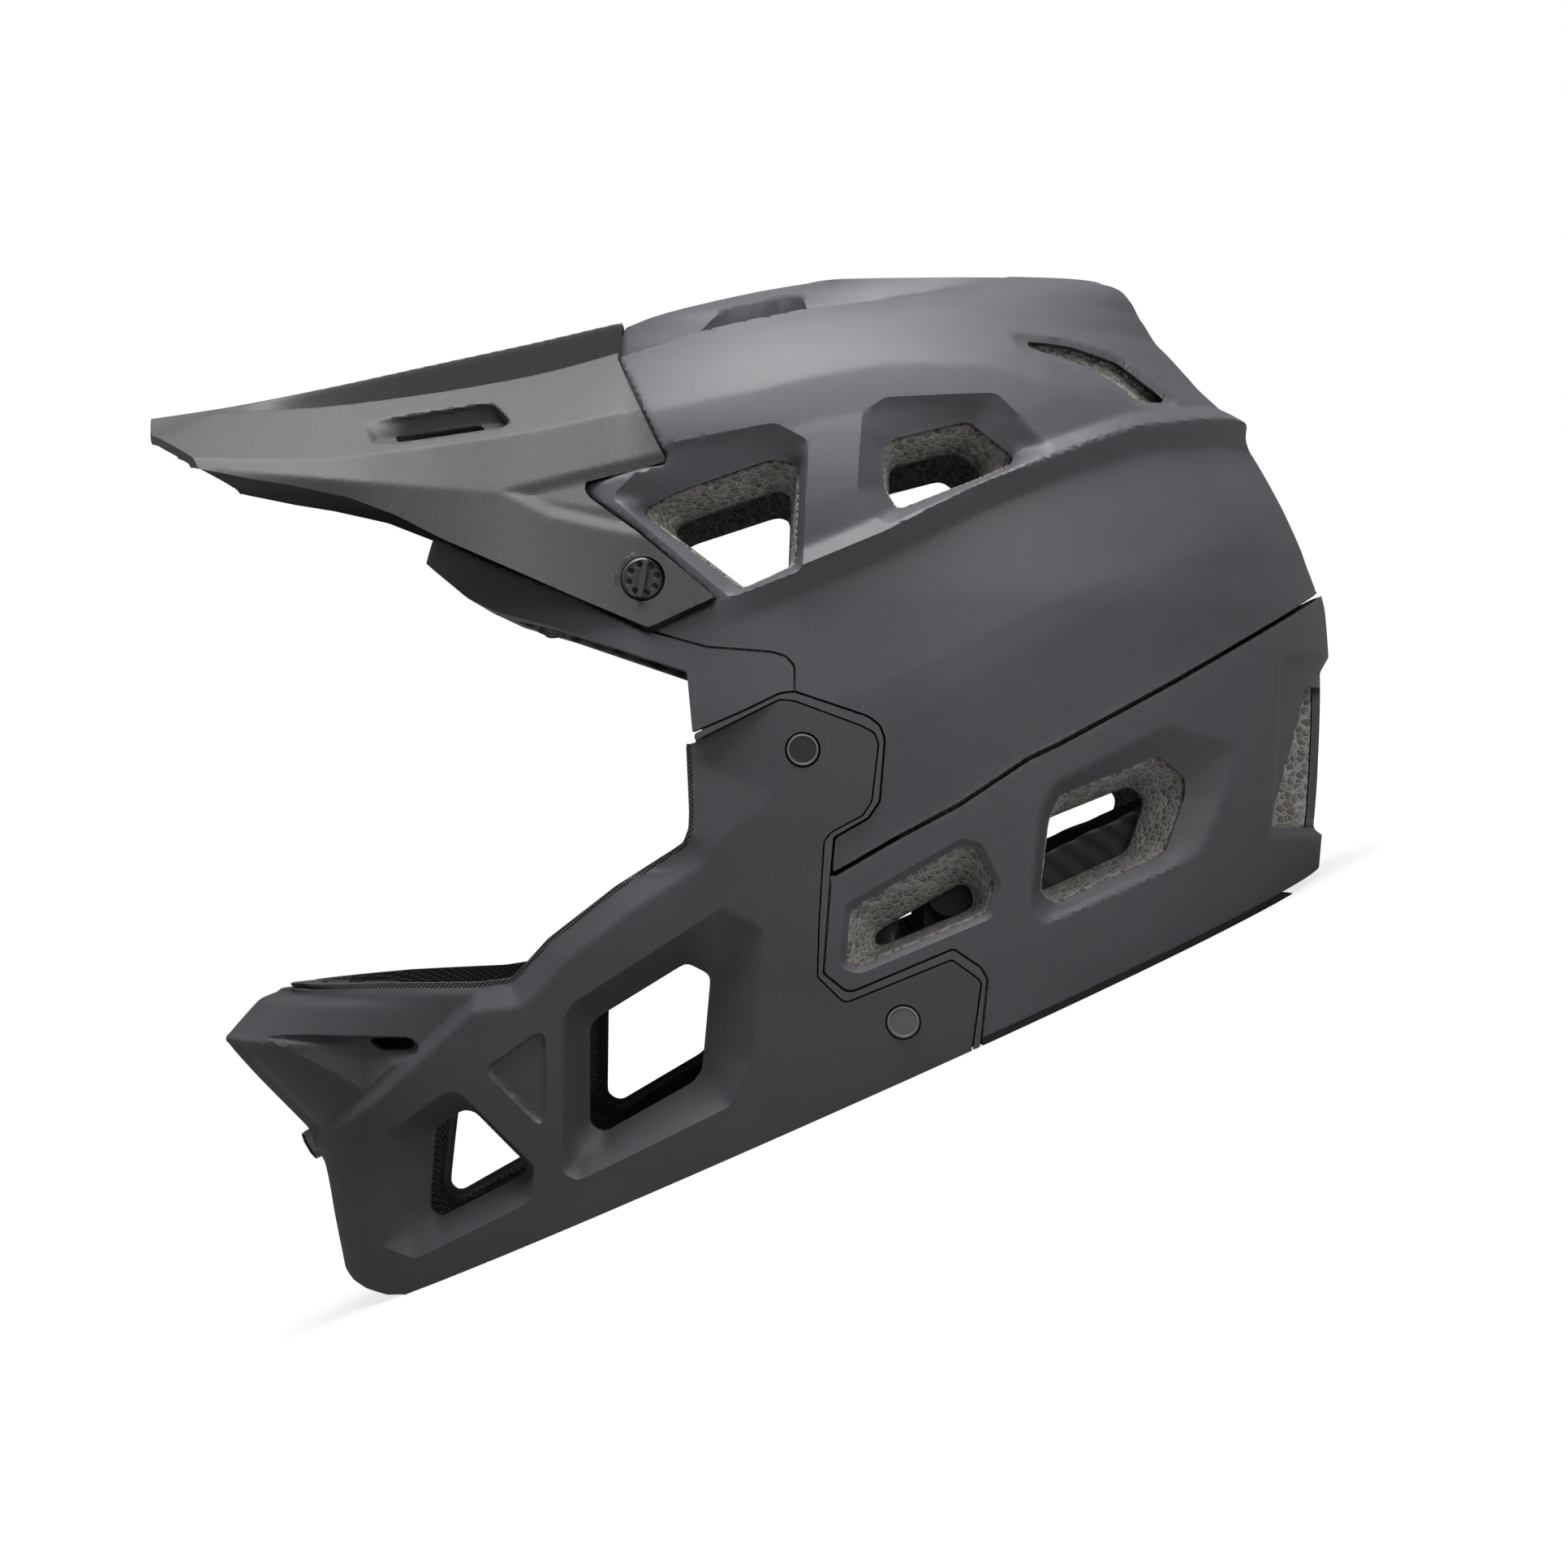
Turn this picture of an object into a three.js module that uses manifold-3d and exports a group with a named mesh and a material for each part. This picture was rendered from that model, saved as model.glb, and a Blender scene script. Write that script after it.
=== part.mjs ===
// Downhill bike full face helmet with a removable chin guard and a tilting visor.
// Units are millimetres. The helmet is drawn as it is worn: -X forward, -Y its left side, +Z up,
// and the whole group is then raked so that it stands on its bottom rim at z = 0.
import * as THREE from 'three';
import { mergeVertices } from 'three/addons/utils/BufferGeometryUtils.js';
import Module from 'manifold-3d';

const wasm = await Module();
wasm.setup();

// Driving dimensions
const sideLength = 380;
const sideHeight = 330;
const shellWidth = 226;
const rakeDegrees = 24.3;
const rimDepth = 98;

// Walls and linings
const shellWall = 2.6;
const guardWall = 3;
const guardLinerWall = 11;
const foamSideWall = 27;
const foamEndWall = 32;
const foamTopWall = 27;
const padThickness = 9;
const cheekPadThickness = 24;
const armDepth = 10;

// Gaps and clearances
const seatGap = 0.3;
const seamGap = 0.6;
const reliefClearance = 0.3;
const slideClearance = 1.1;
const padGap = 0.5;
const overrun = 30;

// Rim
const trimHeight = 2;
const trimWidth = 6;

// Eye port and chin
const beakReach = 20;
const noseInset = 2.4;
const lipRise = 1.6;

// Dock frame
const dockDepth = 6;

// Vents
const ventBevel = 6;
const guardVentBevel = 8;
const foamVentInset = 1.2;
const beltDepth = 1.5;
const rearVentDepth = 60;
const topTroughDepth = 9;
const topTroughInner = 17;
const topTroughOuter = 43;
const topVentLength = 46;
const topVentWidth = 17;
const rearVentInner = 11;
const rearVentOuter = 46;

// Visor
const visorWall = 2.6;
const visorSeatDepth = 4.4;
const tiltRelief = 1.4;
const spineHalfWidth = 19;
const visorReliefDepth = 1.2;
const embossDepth = 1.2;

// Visor screws
const screwHeadDiameter = 13;
const screwHeadHeight = 2.6;
const screwFinHeight = 2.2;
const screwFinWidth = 3.2;
const screwFinLength = 10.6;
const screwFinTiltDegrees = 10;
const screwShankDiameter = 5;
const screwShankLength = 13;
const screwClearance = 0.4;
const screwPadDiameter = 17;
const screwPadThickness = 5;
const screwSeatRecess = 1.4;
const washerThickness = 1.2;
const insertDiameter = 15;
const insertLength = 8;

// Release buttons
const buttonDiameter = 10;
const buttonClearance = 0.4;
const buttonProud = 0.5;
const buttonCapHeight = 3;
const buttonStemDiameter = 3.6;
const buttonTravel = 2.2;
const buttonPocketDepth = 7;
const springWire = 0.7;
const springTurns = 2;
const socketDiameter = 9;
const socketLength = 5;
const socketDrop = 1.5;

// Straps and buckle
const strapWidth = 16;
const strapThickness = 2;
const anchorDiameter = 14;
const anchorThickness = 3;
const buckleLength = 19;
const buckleWidth = 24;
const buckleThickness = 8;
const buckleWall = 1.8;
const prongReach = 13;
const prongWidth = 4;
const prongRoot = 1;

// Chin cap and scoop mesh
const capWidth = 10.6;
const capHeight = 4;
const capRise = 1.6;
const capTiltDegrees = 30;
const meshThickness = 0.8;
const meshSpacing = 16;

// Channels sewn into the cheek pads
const channelCount = 6;
const channelWidth = 2;
const channelDepth = 2;

// Section levels of the outer form: height, front, rear as shares of height and length,
// and half-width as a share of half the shell width
const levelShares = [
  [0.4971, 0.0865, 0.2259, 0.106],
  [0.4882, -0.0007, 0.2845, 0.363],
  [0.4770, -0.0495, 0.2957, 0.478],
  [0.4545, -0.1227, 0.3068, 0.602],
  [0.4264, -0.1702, 0.3236, 0.699],
  [0.3903, -0.2134, 0.3529, 0.796],
  [0.3260, -0.2657, 0.4038, 0.907],
  [0.2778, -0.2887, 0.4261, 0.956],
  [0.1654, -0.3166, 0.4631, 1.000],
  [0.0932, -0.3459, 0.4665, 1.000],
  [0.0128, -0.3843, 0.4644, 0.991],
  [-0.0675, -0.4121, 0.4589, 0.973],
  [-0.1478, -0.4282, 0.4519, 0.951],
  [-0.2024, -0.4331, 0.4449, 0.929],
  [-0.2505, -0.4296, 0.4386, 0.912],
  [-0.3389, -0.4052, 0.4268, 0.876],
  [-0.4288, -0.3843, 0.4128, 0.841],
  [-0.5573, -0.3633, 0.3933, 0.783],
];
// How far the nose's prow stands out at each level, as a share of its reach
const beakShares = [
  [-0.1478, 0], [-0.2024, 0.05], [-0.2105, 0.35], [-0.2505, 1], [-0.3389, 0.1], [-0.3726, 0],
];
const middleShare = 0.0789;
const centreShares = [middleShare, 0.04];
const sectionPower = 2.15;
const sectionSteps = 12;
const innerSteps = 8;
const beakSpreadShare = 0.3;

// Side-view outlines and seams, as shares of the side length and height
const mainSeamShares = [
  [0.5537, 0.2578], [0.4624, 0.1911], [0.3913, 0.1451], [0.3153, 0.0961], [0.2201, 0.0375],
  [0.1964, 0.0247], [0.1390, -0.0187], [0.0915, -0.0478], [0.0377, -0.0838],
];
const dockUpperShares = [
  [0.0403, -0.0493], [0.0675, -0.0314], [0.0766, -0.0157], [0.0804, 0.0418], [0.0765, 0.0538],
  [0.0674, 0.0620], [0.0084, 0.0851],
];
const dockLowerShares = [
  [0.0319, -0.1747], [0.0495, -0.1913], [0.0560, -0.1913], [0.1361, -0.1522], [0.1584, -0.1696],
  [0.1637, -0.1802], [0.1587, -0.2399], [0.1563, -0.4854],
];
const browSeamShares = [
  [0.0084, 0.1090], [0.0013, 0.1180], [-0.0097, 0.1218], [-0.0624, 0.1266], [-0.1083, 0.1383],
  [-0.1751, 0.1698], [-0.2375, 0.1997], [-0.2869, 0.2275], [-0.3389, 0.2618], [-0.42, 0.31],
];
const browLowerShares = [[-0.0032, 0.0837], [-0.0325, 0.0673], [-0.0729, 0.0472], [-0.1214, 0.0233]];
const guardSeamShares = [
  [-0.0729, 0.0382], [-0.0032, 0.0777], [0.0084, 0.0762], [0.0603, 0.0538], [0.0720, 0.0470],
  [0.0752, 0.0366], [0.0701, -0.0157], [0.0630, -0.0284], [0.0377, -0.0441], [0.0318, -0.0523],
  [0.0280, -0.1258], [0.0267, -0.1785], [0.0469, -0.2011], [0.0515, -0.2018], [0.1348, -0.1627],
  [0.1558, -0.1802], [0.1584, -0.1840], [0.1515, -0.2429], [0.1465, -0.4854],
];
const portShares = [
  [-0.3131, 0.2240], [-0.2609, 0.1761], [-0.2334, 0.1616], [-0.1885, 0.1472], [-0.1182, 0.1203],
  [-0.0781, 0.1049], [-0.0735, 0.0472], [-0.0748, 0.0345], [-0.0723, -0.0255], [-0.0729, -0.0420],
  [-0.0782, -0.0578], [-0.1346, -0.0993], [-0.1891, -0.1482], [-0.2119, -0.1766], [-0.2220, -0.1874],
  [-0.2498, -0.1917], [-0.3307, -0.1946], [-0.4366, -0.2024],
];
const farFrontShare = -0.75;
const farRearShare = 0.75;
const farTopShare = 0.75;
const farBottomShare = -0.75;
const foamFrontShares = [[-0.0677, -0.0330], [-0.0449, -0.1080], [-0.0400, -0.3426]];
const armFrontShares = [
  [-0.0600, 0.2], [-0.0600, -0.0700], [-0.0200, -0.1080], [0.0000, -0.2900], [0.0100, -0.7],
];
const ridgeShares = [[-0.3860, -0.3436], [-0.3322, -0.2983], [-0.2499, -0.2101], [-0.2126, -0.1751]];
const frontVentRecessShares = [
  [-0.3294, -0.3344], [-0.2780, -0.2903], [-0.2650, -0.2913], [-0.2032, -0.3597], [-0.2068, -0.3923],
  [-0.3058, -0.4537], [-0.3355, -0.4449],
];
const frontVentHoleShares = [
  [-0.2890, -0.3281], [-0.2645, -0.3092], [-0.2549, -0.3104], [-0.2106, -0.3599], [-0.2127, -0.3693],
  [-0.2868, -0.4151], [-0.2951, -0.4070],
];
const jawVentRecessShares = [
  [-0.1787, -0.2194], [-0.1707, -0.2041], [-0.0508, -0.1147], [-0.0163, -0.1349], [-0.0261, -0.2573],
  [-0.0432, -0.2992], [-0.1677, -0.3717], [-0.1803, -0.3651],
];
const jawVentHoleShares = [
  [-0.1582, -0.2283], [-0.1542, -0.2206], [-0.0790, -0.1668], [-0.0594, -0.1781], [-0.0667, -0.2682],
  [-0.0746, -0.2797], [-0.1474, -0.3281], [-0.1587, -0.3207],
];
const triangleShares = [
  [-0.2456, -0.2683], [-0.1995, -0.2305], [-0.1928, -0.2349], [-0.1941, -0.3177], [-0.1995, -0.3209],
];
const scoopHoleShares = [
  [-0.3480, -0.2420], [-0.3072, -0.2400], [-0.3020, -0.2461], [-0.3094, -0.2530], [-0.3334, -0.2540],
];
const templeRecessShares = [
  [-0.1408, 0.2682], [-0.0946, 0.3179], [-0.0072, 0.3362], [0.0196, 0.3187], [0.0143, 0.1973],
  [-0.0436, 0.1722],
];
const templeHoleShares = [
  [-0.1174, 0.2544], [-0.0877, 0.2720], [-0.0104, 0.3021], [0.0130, 0.2980], [0.0097, 0.2026],
  [-0.0331, 0.1796],
];
const sideRecessShares = [
  [0.0585, 0.2725], [0.0628, 0.3442], [0.0813, 0.3599], [0.1722, 0.3648], [0.2195, 0.3094],
  [0.1881, 0.3000], [0.0798, 0.2425],
];
const sideHoleShares = [
  [0.0806, 0.2740], [0.0802, 0.3131], [0.0894, 0.3216], [0.1492, 0.3384], [0.1869, 0.3040],
  [0.1808, 0.2939], [0.0909, 0.2528],
];
const rearSlitShares = [
  [0.1898, 0.4096], [0.2159, 0.4159], [0.2614, 0.4003], [0.3206, 0.3622], [0.3055, 0.3549],
  [0.2456, 0.3932], [0.2153, 0.4032],
];
const earRecessShares = [
  [0.1982, -0.1194], [0.2044, -0.0292], [0.2175, 0.0007], [0.3113, 0.0552], [0.3702, 0.0367],
  [0.3605, -0.0107], [0.3383, -0.0654], [0.2101, -0.1293],
];
const earHoleShares = [
  [0.2061, -0.1006], [0.2124, -0.0345], [0.2215, -0.0105], [0.3039, 0.0265], [0.3266, 0.0061],
  [0.3268, -0.0106], [0.3099, -0.0652], [0.2180, -0.1120],
];
const collarHoleShares = [
  [0.0495, -0.1656], [0.0533, -0.1153], [0.1443, -0.0554], [0.1554, -0.0599], [0.1692, -0.0929],
  [0.1634, -0.1192], [0.0599, -0.1694],
];
const beltShares = [
  [-0.0480, 0.1715], [-0.0253, 0.1825], [0.0798, 0.2324], [0.1523, 0.2744], [0.2188, 0.3063],
  [0.2877, 0.3362], [0.3600, 0.3500],
];
const beltLowerShares = [
  [-0.0250, 0.1500], [0.0100, 0.1600], [0.1050, 0.2000], [0.1750, 0.2380], [0.2450, 0.2700],
  [0.3050, 0.2950], [0.3700, 0.3050],
];
const visorSeatShares = [
  [-0.1373, 0.4053], [-0.1158, 0.3505], [-0.1013, 0.3158], [-0.0959, 0.3055], [-0.0965, 0.3000],
  [-0.1605, 0.2822], [-0.1617, 0.2744], [-0.1569, 0.2673], [-0.1179, 0.2346], [-0.0546, 0.1723],
  [-0.1090, 0.1443],
];
const visorLowerShares = [
  [-0.4854, 0.2987], [-0.4393, 0.2883], [-0.4045, 0.2819], [-0.3564, 0.2698], [-0.3166, 0.2522],
  [-0.2789, 0.2297], [-0.1751, 0.1766], [-0.1090, 0.1443],
];
const visorSlotRecessShares = [
  [-0.3521, 0.3463], [-0.2534, 0.3634], [-0.2406, 0.3634], [-0.2244, 0.3416], [-0.2311, 0.3361],
  [-0.3183, 0.3229], [-0.3386, 0.3222],
];
const visorSlotShares = [
  [-0.3250, 0.3323], [-0.2568, 0.3424], [-0.2508, 0.3424], [-0.2440, 0.3361], [-0.3184, 0.3245],
];
const arrowShares = [
  [-0.2311, 0.2736], [-0.1646, 0.2934], [-0.0968, 0.3108], [-0.0900, 0.2600], [-0.1165, 0.2304],
  [-0.1468, 0.2373], [-0.1909, 0.2494],
];
// Visor cross-sections: station along the length, then width and height pairs from the spine to the edge
const visorStationShares = [
  [-0.545, 0.357, 0.19, 0.355, 0.30, 0.330, 0.60, 0.322, 0.62, 0.318, 0.64],
  [-0.475, 0.369, 0.19, 0.358, 0.34, 0.308, 0.62, 0.298, 0.64, 0.285, 0.66],
  [-0.395, 0.387, 0.19, 0.363, 0.36, 0.307, 0.62, 0.290, 0.66, 0.264, 0.66],
  [-0.303, 0.410, 0.19, 0.375, 0.39, 0.317, 0.655, 0.280, 0.715, 0.232, 0.735],
  [-0.211, 0.433, 0.19, 0.392, 0.42, 0.331, 0.71, 0.270, 0.80, 0.190, 0.865],
  [-0.132, 0.454, 0.19, 0.415, 0.47, 0.349, 0.71, 0.258, 0.845, 0.130, 0.905],
  [-0.079, 0.466, 0.19, 0.433, 0.53, 0.358, 0.785, 0.258, 0.916, 0.120, 0.976],
  [-0.030, 0.475, 0.19, 0.439, 0.60, 0.358, 0.835, 0.258, 0.968, 0.120, 1.014],
];
// Plan outline of the visor's left half: distance behind the tip as a share of the side length,
// and width as a share of the shell width
const visorPlanShares = [
  [0.0053, 0], [0.0079, 0.098], [0.0263, 0.236], [0.0684, 0.327], [0.1579, 1], [1.5, 1],
];
// The upright rear vent: heights of its sill and head as shares of the side height
const rearVentShares = [-0.047, 0.098];
const screwShares = [-0.1137, 0.1903];
const upperButtonShares = [0.0150, 0.0315];
const lowerButtonShares = [0.0958, -0.2203];

// Soft linings in side view
const cheekShares = [
  [-0.1876, -0.1547], [-0.1849, -0.1424], [-0.1532, -0.1008], [-0.1191, -0.0693], [-0.0746, -0.0349],
  [-0.0435, -0.0068], [0.0224, 0.0045], [0.0947, -0.0182], [0.1080, -0.0864], [0.0885, -0.2237],
  [0.0500, -0.2600], [-0.0200, -0.2900], [-0.0405, -0.2900], [-0.0483, -0.2164], [-0.0568, -0.1644],
];
const neckShares = [
  [0.1614, -0.0906], [0.2416, -0.0413], [0.3451, 0.0046], [0.4359, 0.0523], [0.4774, 0.0701],
  [0.4774, -0.0359], [0.4290, -0.0586], [0.3388, -0.0960], [0.2421, -0.1409], [0.1817, -0.1711],
];
const sidePadShares = [
  [0.0200, 0.2150], [0.0500, 0.2300], [0.1500, 0.2300], [0.2225, 0.2200], [0.2421, 0.1900],
  [0.1880, 0.1500], [0.0885, 0.1262], [0.0250, 0.1300], [0.0180, 0.1600],
];
const browPadShares = [
  [-0.3449, 0.2664], [-0.2790, 0.1749], [-0.2200, 0.1461], [-0.1782, 0.1358], [-0.1204, 0.1157],
  [-0.0769, 0.0977], [-0.0480, 0.0915], [-0.0480, 0.1494], [-0.1787, 0.2135], [-0.2508, 0.2572],
];
const crownPadShares = [[-0.0500, 0.6], [-0.0500, 0.3300], [0.2000, 0.3500], [0.2000, 0.6]];
const strapPlaceShare = 0.1355;
// The strap's line across the neck opening: width as a share of half the room between the foam walls,
// and height as a share of the side height
const strapLineShares = [
  [0.907, -0.103], [0.867, -0.145], [0.775, -0.182], [0.631, -0.204], [0.421, -0.211], [0.226, -0.213],
];
const capShares = [-0.4052, -0.3565];
const meshShares = [[-0.3650, -0.2250], [-0.2850, -0.2250], [-0.2850, -0.2700], [-0.3650, -0.2700]];

const halfWidthMax = shellWidth / 2;
const middle = middleShare * sideLength;
const centre = new THREE.Vector3(centreShares[0] * sideLength, 0, centreShares[1] * sideHeight);
const rake = THREE.MathUtils.degToRad(rakeDegrees);

const colours = {
  shell: 0x3d3d42,
  visor: 0x454343,
  guard: 0x3a3a40,
  seal: 0x141416,
  foam: 0x5b554f,
  fabric: 0x1a1a1c,
  button: 0x232326,
  metal: 0x8d9096,
};

function material(colour, roughness, metalness = 0) {
  return new THREE.MeshStandardMaterial({ color: colour, roughness, metalness });
}

// Scales an outline of shares to millimetres
function sized(shares) {
  return shares.map(([x, z]) => [x * sideLength, z * sideHeight]);
}

function interpolate(table, key, column) {
  const first = table[0];
  const last = table[table.length - 1];
  const falling = first[0] > last[0];
  for (let i = 1; i < table.length; i += 1) {
    const [a, b] = [table[i - 1], table[i]];
    const inside = falling ? key <= a[0] && key >= b[0] : key >= a[0] && key <= b[0];
    if (inside) {
      return a[column] + ((b[column] - a[column]) * (key - a[0])) / (b[0] - a[0]);
    }
  }
  return (key > first[0]) === falling ? first[column] : last[column];
}

// Half-width of the outer form at a point of the side view, zero outside it
function halfWidthAt(x, z) {
  const share = z / sideHeight;
  if (share > levelShares[0][0]) return 0;
  const front = interpolate(levelShares, share, 1) * sideLength;
  const rear = interpolate(levelShares, share, 2) * sideLength;
  const half = interpolate(levelShares, share, 3) * halfWidthMax;
  const reach = x < middle ? middle - front : rear - middle;
  const along = Math.abs(x - middle) / reach;
  return along >= 1 ? 0 : half * (1 - along ** sectionPower) ** (1 / sectionPower);
}

// A solid from a geometry or from raw points and faces
function solidOf(geometry) {
  const plain = geometry.clone();
  plain.deleteAttribute('normal');
  plain.deleteAttribute('uv');
  const merged = mergeVertices(plain);
  const vertProperties = new Float32Array(merged.attributes.position.array);
  const triVerts = new Uint32Array(merged.index.array);
  return new wasm.Manifold(new wasm.Mesh({ numProp: 3, vertProperties, triVerts }));
}

function geometryOf(points, faces) {
  const geometry = new THREE.BufferGeometry();
  geometry.setAttribute('position', new THREE.Float32BufferAttribute(points.flat(), 3));
  geometry.setIndex(faces.flat());
  return geometry;
}

// Closes a stack of rings of equal length; the first and last rings are capped
function ringStack(rings, capFaces = null) {
  const count = rings[0].length;
  const points = rings.flat();
  const faces = [];
  for (let j = 0; j + 1 < rings.length; j += 1) {
    for (let i = 0; i < count; i += 1) {
      const a = j * count + i;
      const b = j * count + ((i + 1) % count);
      faces.push([a, b, b + count], [a, b + count, a + count]);
    }
  }
  const cap = capFaces ?? [...Array(count - 2).keys()].map((i) => [0, i + 1, i + 2]);
  const top = (rings.length - 1) * count;
  for (const [a, b, c] of cap) {
    faces.push([a, c, b], [top + a, top + b, top + c]);
  }
  return geometryOf(points, faces);
}

// Turns a geometry right side out if its faces point inwards
function rightSideOut(geometry) {
  const p = geometry.attributes.position;
  const index = geometry.index.array;
  let volume = 0;
  const [a, b, c] = [new THREE.Vector3(), new THREE.Vector3(), new THREE.Vector3()];
  for (let i = 0; i < index.length; i += 3) {
    a.fromBufferAttribute(p, index[i]);
    b.fromBufferAttribute(p, index[i + 1]);
    c.fromBufferAttribute(p, index[i + 2]);
    volume += a.dot(b.cross(c));
  }
  if (volume < 0) {
    for (let i = 0; i < index.length; i += 3) {
      [index[i], index[i + 1]] = [index[i + 1], index[i]];
    }
  }
  return geometry;
}

// Mirror image of a solid on the helmet's other side
function mirrored(solid) {
  const mesh = solid.getMesh();
  const points = [];
  for (let i = 0; i < mesh.vertProperties.length; i += mesh.numProp) {
    points.push([mesh.vertProperties[i], -mesh.vertProperties[i + 1], mesh.vertProperties[i + 2]]);
  }
  const faces = [];
  for (let i = 0; i < mesh.triVerts.length; i += 3) {
    faces.push([mesh.triVerts[i + 1], mesh.triVerts[i], mesh.triVerts[i + 2]]);
  }
  return solidOf(geometryOf(points, faces));
}

function bothSides(solid) {
  return solid.add(mirrored(solid));
}

// One section of the outer form, pulled in towards the centre by a wall
function section(level, wall, withBeak, steps) {
  const [heightShare, frontShare, rearShare, halfShare] = level;
  const front = middle - frontShare * sideLength;
  const rear = rearShare * sideLength - middle;
  const half = halfShare * halfWidthMax;
  const beak = withBeak ? interpolate(beakShares, heightShare, 1) * beakReach : 0;
  const ring = [];
  for (let i = 0; i < 2 * steps; i += 1) {
    const turn = (Math.PI * i) / steps;
    const [c, s] = [Math.cos(turn), Math.sin(turn)];
    const reach = c > 0 ? front : rear;
    const x = middle - reach * Math.sign(c) * Math.abs(c) ** (2 / sectionPower);
    const y = half * Math.sign(s) * Math.abs(s) ** (2 / sectionPower);
    const prow = beak * Math.max(0, (c - 1 + beakSpreadShare) / beakSpreadShare);
    const point = new THREE.Vector3(x - prow, y, heightShare * sideHeight);
    ring.push(pulledIn(point, wall).toArray());
  }
  return ring;
}

// Moves a point of the outer form towards the form's centre by a wall's thickness
function pulledIn(point, wall) {
  const [side, end, top] = Array.isArray(wall) ? wall : [wall, wall, wall];
  const topHeight = levelShares[0][0] * sideHeight - centre.z;
  const frontReach = (levelShares[8][2] - levelShares[8][1]) * sideLength / 2;
  return new THREE.Vector3(
    centre.x + (point.x - centre.x) * (1 - end / frontReach),
    point.y * (1 - side / halfWidthMax),
    centre.z + (point.z - centre.z) * (1 - top / topHeight),
  );
}

function form(wall, withBeak = false) {
  const rings = levelShares.map((level) => section(level, wall, withBeak, sectionSteps));
  return solidOf(rightSideOut(ringStack(rings)));
}

// The room for the head: fewer, flatter faces than the outside
function innerForm(extra) {
  const wall = [foamSideWall + extra, foamEndWall + extra, foamTopWall + extra];
  const levels = levelShares.filter((level, i) => i % 2 === 0 || i === levelShares.length - 1);
  const rings = levels.map((level) => section(level, wall, false, innerSteps));
  return solidOf(rightSideOut(ringStack(rings)));
}

// Twice the area inside an outline, negative if its points run clockwise
function windingOf(outline) {
  return outline.reduce((area, [x, z], i) => {
    const [u, w] = outline[(i + 1) % outline.length];
    return area + x * w - u * z;
  }, 0);
}

// Moves every side of an outline outwards by a distance, keeping its corners
function grown(outline, distance) {
  const turn = Math.sign(windingOf(outline));
  return outline.map((point, i) => {
    const before = outline[(i + outline.length - 1) % outline.length];
    const after = outline[(i + 1) % outline.length];
    const a = new THREE.Vector2(point[0] - before[0], point[1] - before[1]).normalize();
    const b = new THREE.Vector2(after[0] - point[0], after[1] - point[1]).normalize();
    const [na, nb] = [new THREE.Vector2(a.y, -a.x), new THREE.Vector2(b.y, -b.x)];
    const sum = na.clone().add(nb);
    const scale = (turn * distance) / Math.max(sum.lengthSq() / 2, 0.4);
    return [point[0] + sum.x * scale, point[1] + sum.y * scale];
  });
}

// A side-view outline drawn right through the helmet, or between two widths
function prism(outline, from = -shellWidth, to = shellWidth) {
  const shape = new THREE.Shape(outline.map(([x, z]) => new THREE.Vector2(x, z)));
  const geometry = new THREE.ExtrudeGeometry(shape, { depth: to - from, bevelEnabled: false });
  geometry.rotateX(Math.PI / 2);
  geometry.translate(0, to, 0);
  return solidOf(geometry);
}

// A plan-view outline drawn upwards between two heights
function column(outline, from, to) {
  const shape = new THREE.Shape(outline.map(([x, y]) => new THREE.Vector2(x, y)));
  const geometry = new THREE.ExtrudeGeometry(shape, { depth: to - from, bevelEnabled: false });
  geometry.translate(0, 0, from);
  return solidOf(geometry);
}

// A cylinder across the helmet between two widths
function crossCylinder(diameter, x, z, from, to, sides = 16) {
  const geometry = new THREE.CylinderGeometry(diameter / 2, diameter / 2, to - from, sides);
  geometry.translate(x, (from + to) / 2, z);
  return solidOf(geometry);
}

// Everything below the standing plane, raised by a lift
function belowRim(lift) {
  const size = sideLength * 3;
  const geometry = new THREE.BoxGeometry(size, size, size);
  geometry.translate(0, 0, lift - rimDepth - size / 2);
  geometry.rotateY(-rake);
  return solidOf(geometry);
}

function centroid(outline) {
  const sum = outline.reduce(([a, b], [x, z]) => [a + x, b + z], [0, 0]);
  return [sum[0] / outline.length, sum[1] / outline.length];
}

// A bevelled recess on the left side: its mouth lies on the surface and its floor is the hole's outline,
// with a flat bevel between each side of the one and of the other
function funnel(mouth, floor, depth, wall = 0) {
  const [outer, inner] = [grown(mouth, wall), grown(floor, wall)];
  if (windingOf(inner) < 0) {
    outer.reverse();
    inner.reverse();
  }
  const rings = [[], []];
  outer.forEach(([x, z], i) => {
    const [u, w] = inner[i];
    const top = new THREE.Vector3(x, -halfWidthAt(x, z), z);
    const bottom = new THREE.Vector3(u, depth + wall - halfWidthAt(u, w), w);
    const lifted = top.clone().add(top.clone().sub(bottom));
    rings[0].push(lifted.toArray());
    rings[1].push(bottom.toArray());
  });
  const flat = inner.map(([x, z]) => new THREE.Vector2(x, z));
  const cap = THREE.ShapeUtils.triangulateShape(flat, []);
  return solidOf(rightSideOut(ringStack(rings, cap)));
}

// A hole on the left side, through the wall and on by a reach
function sideHole(outline, reach, inset = 0) {
  const shrunk = grown(outline, -inset);
  const [x, z] = centroid(outline);
  const width = halfWidthAt(x, z);
  return prism(shrunk, -shellWidth, reach - width);
}

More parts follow.
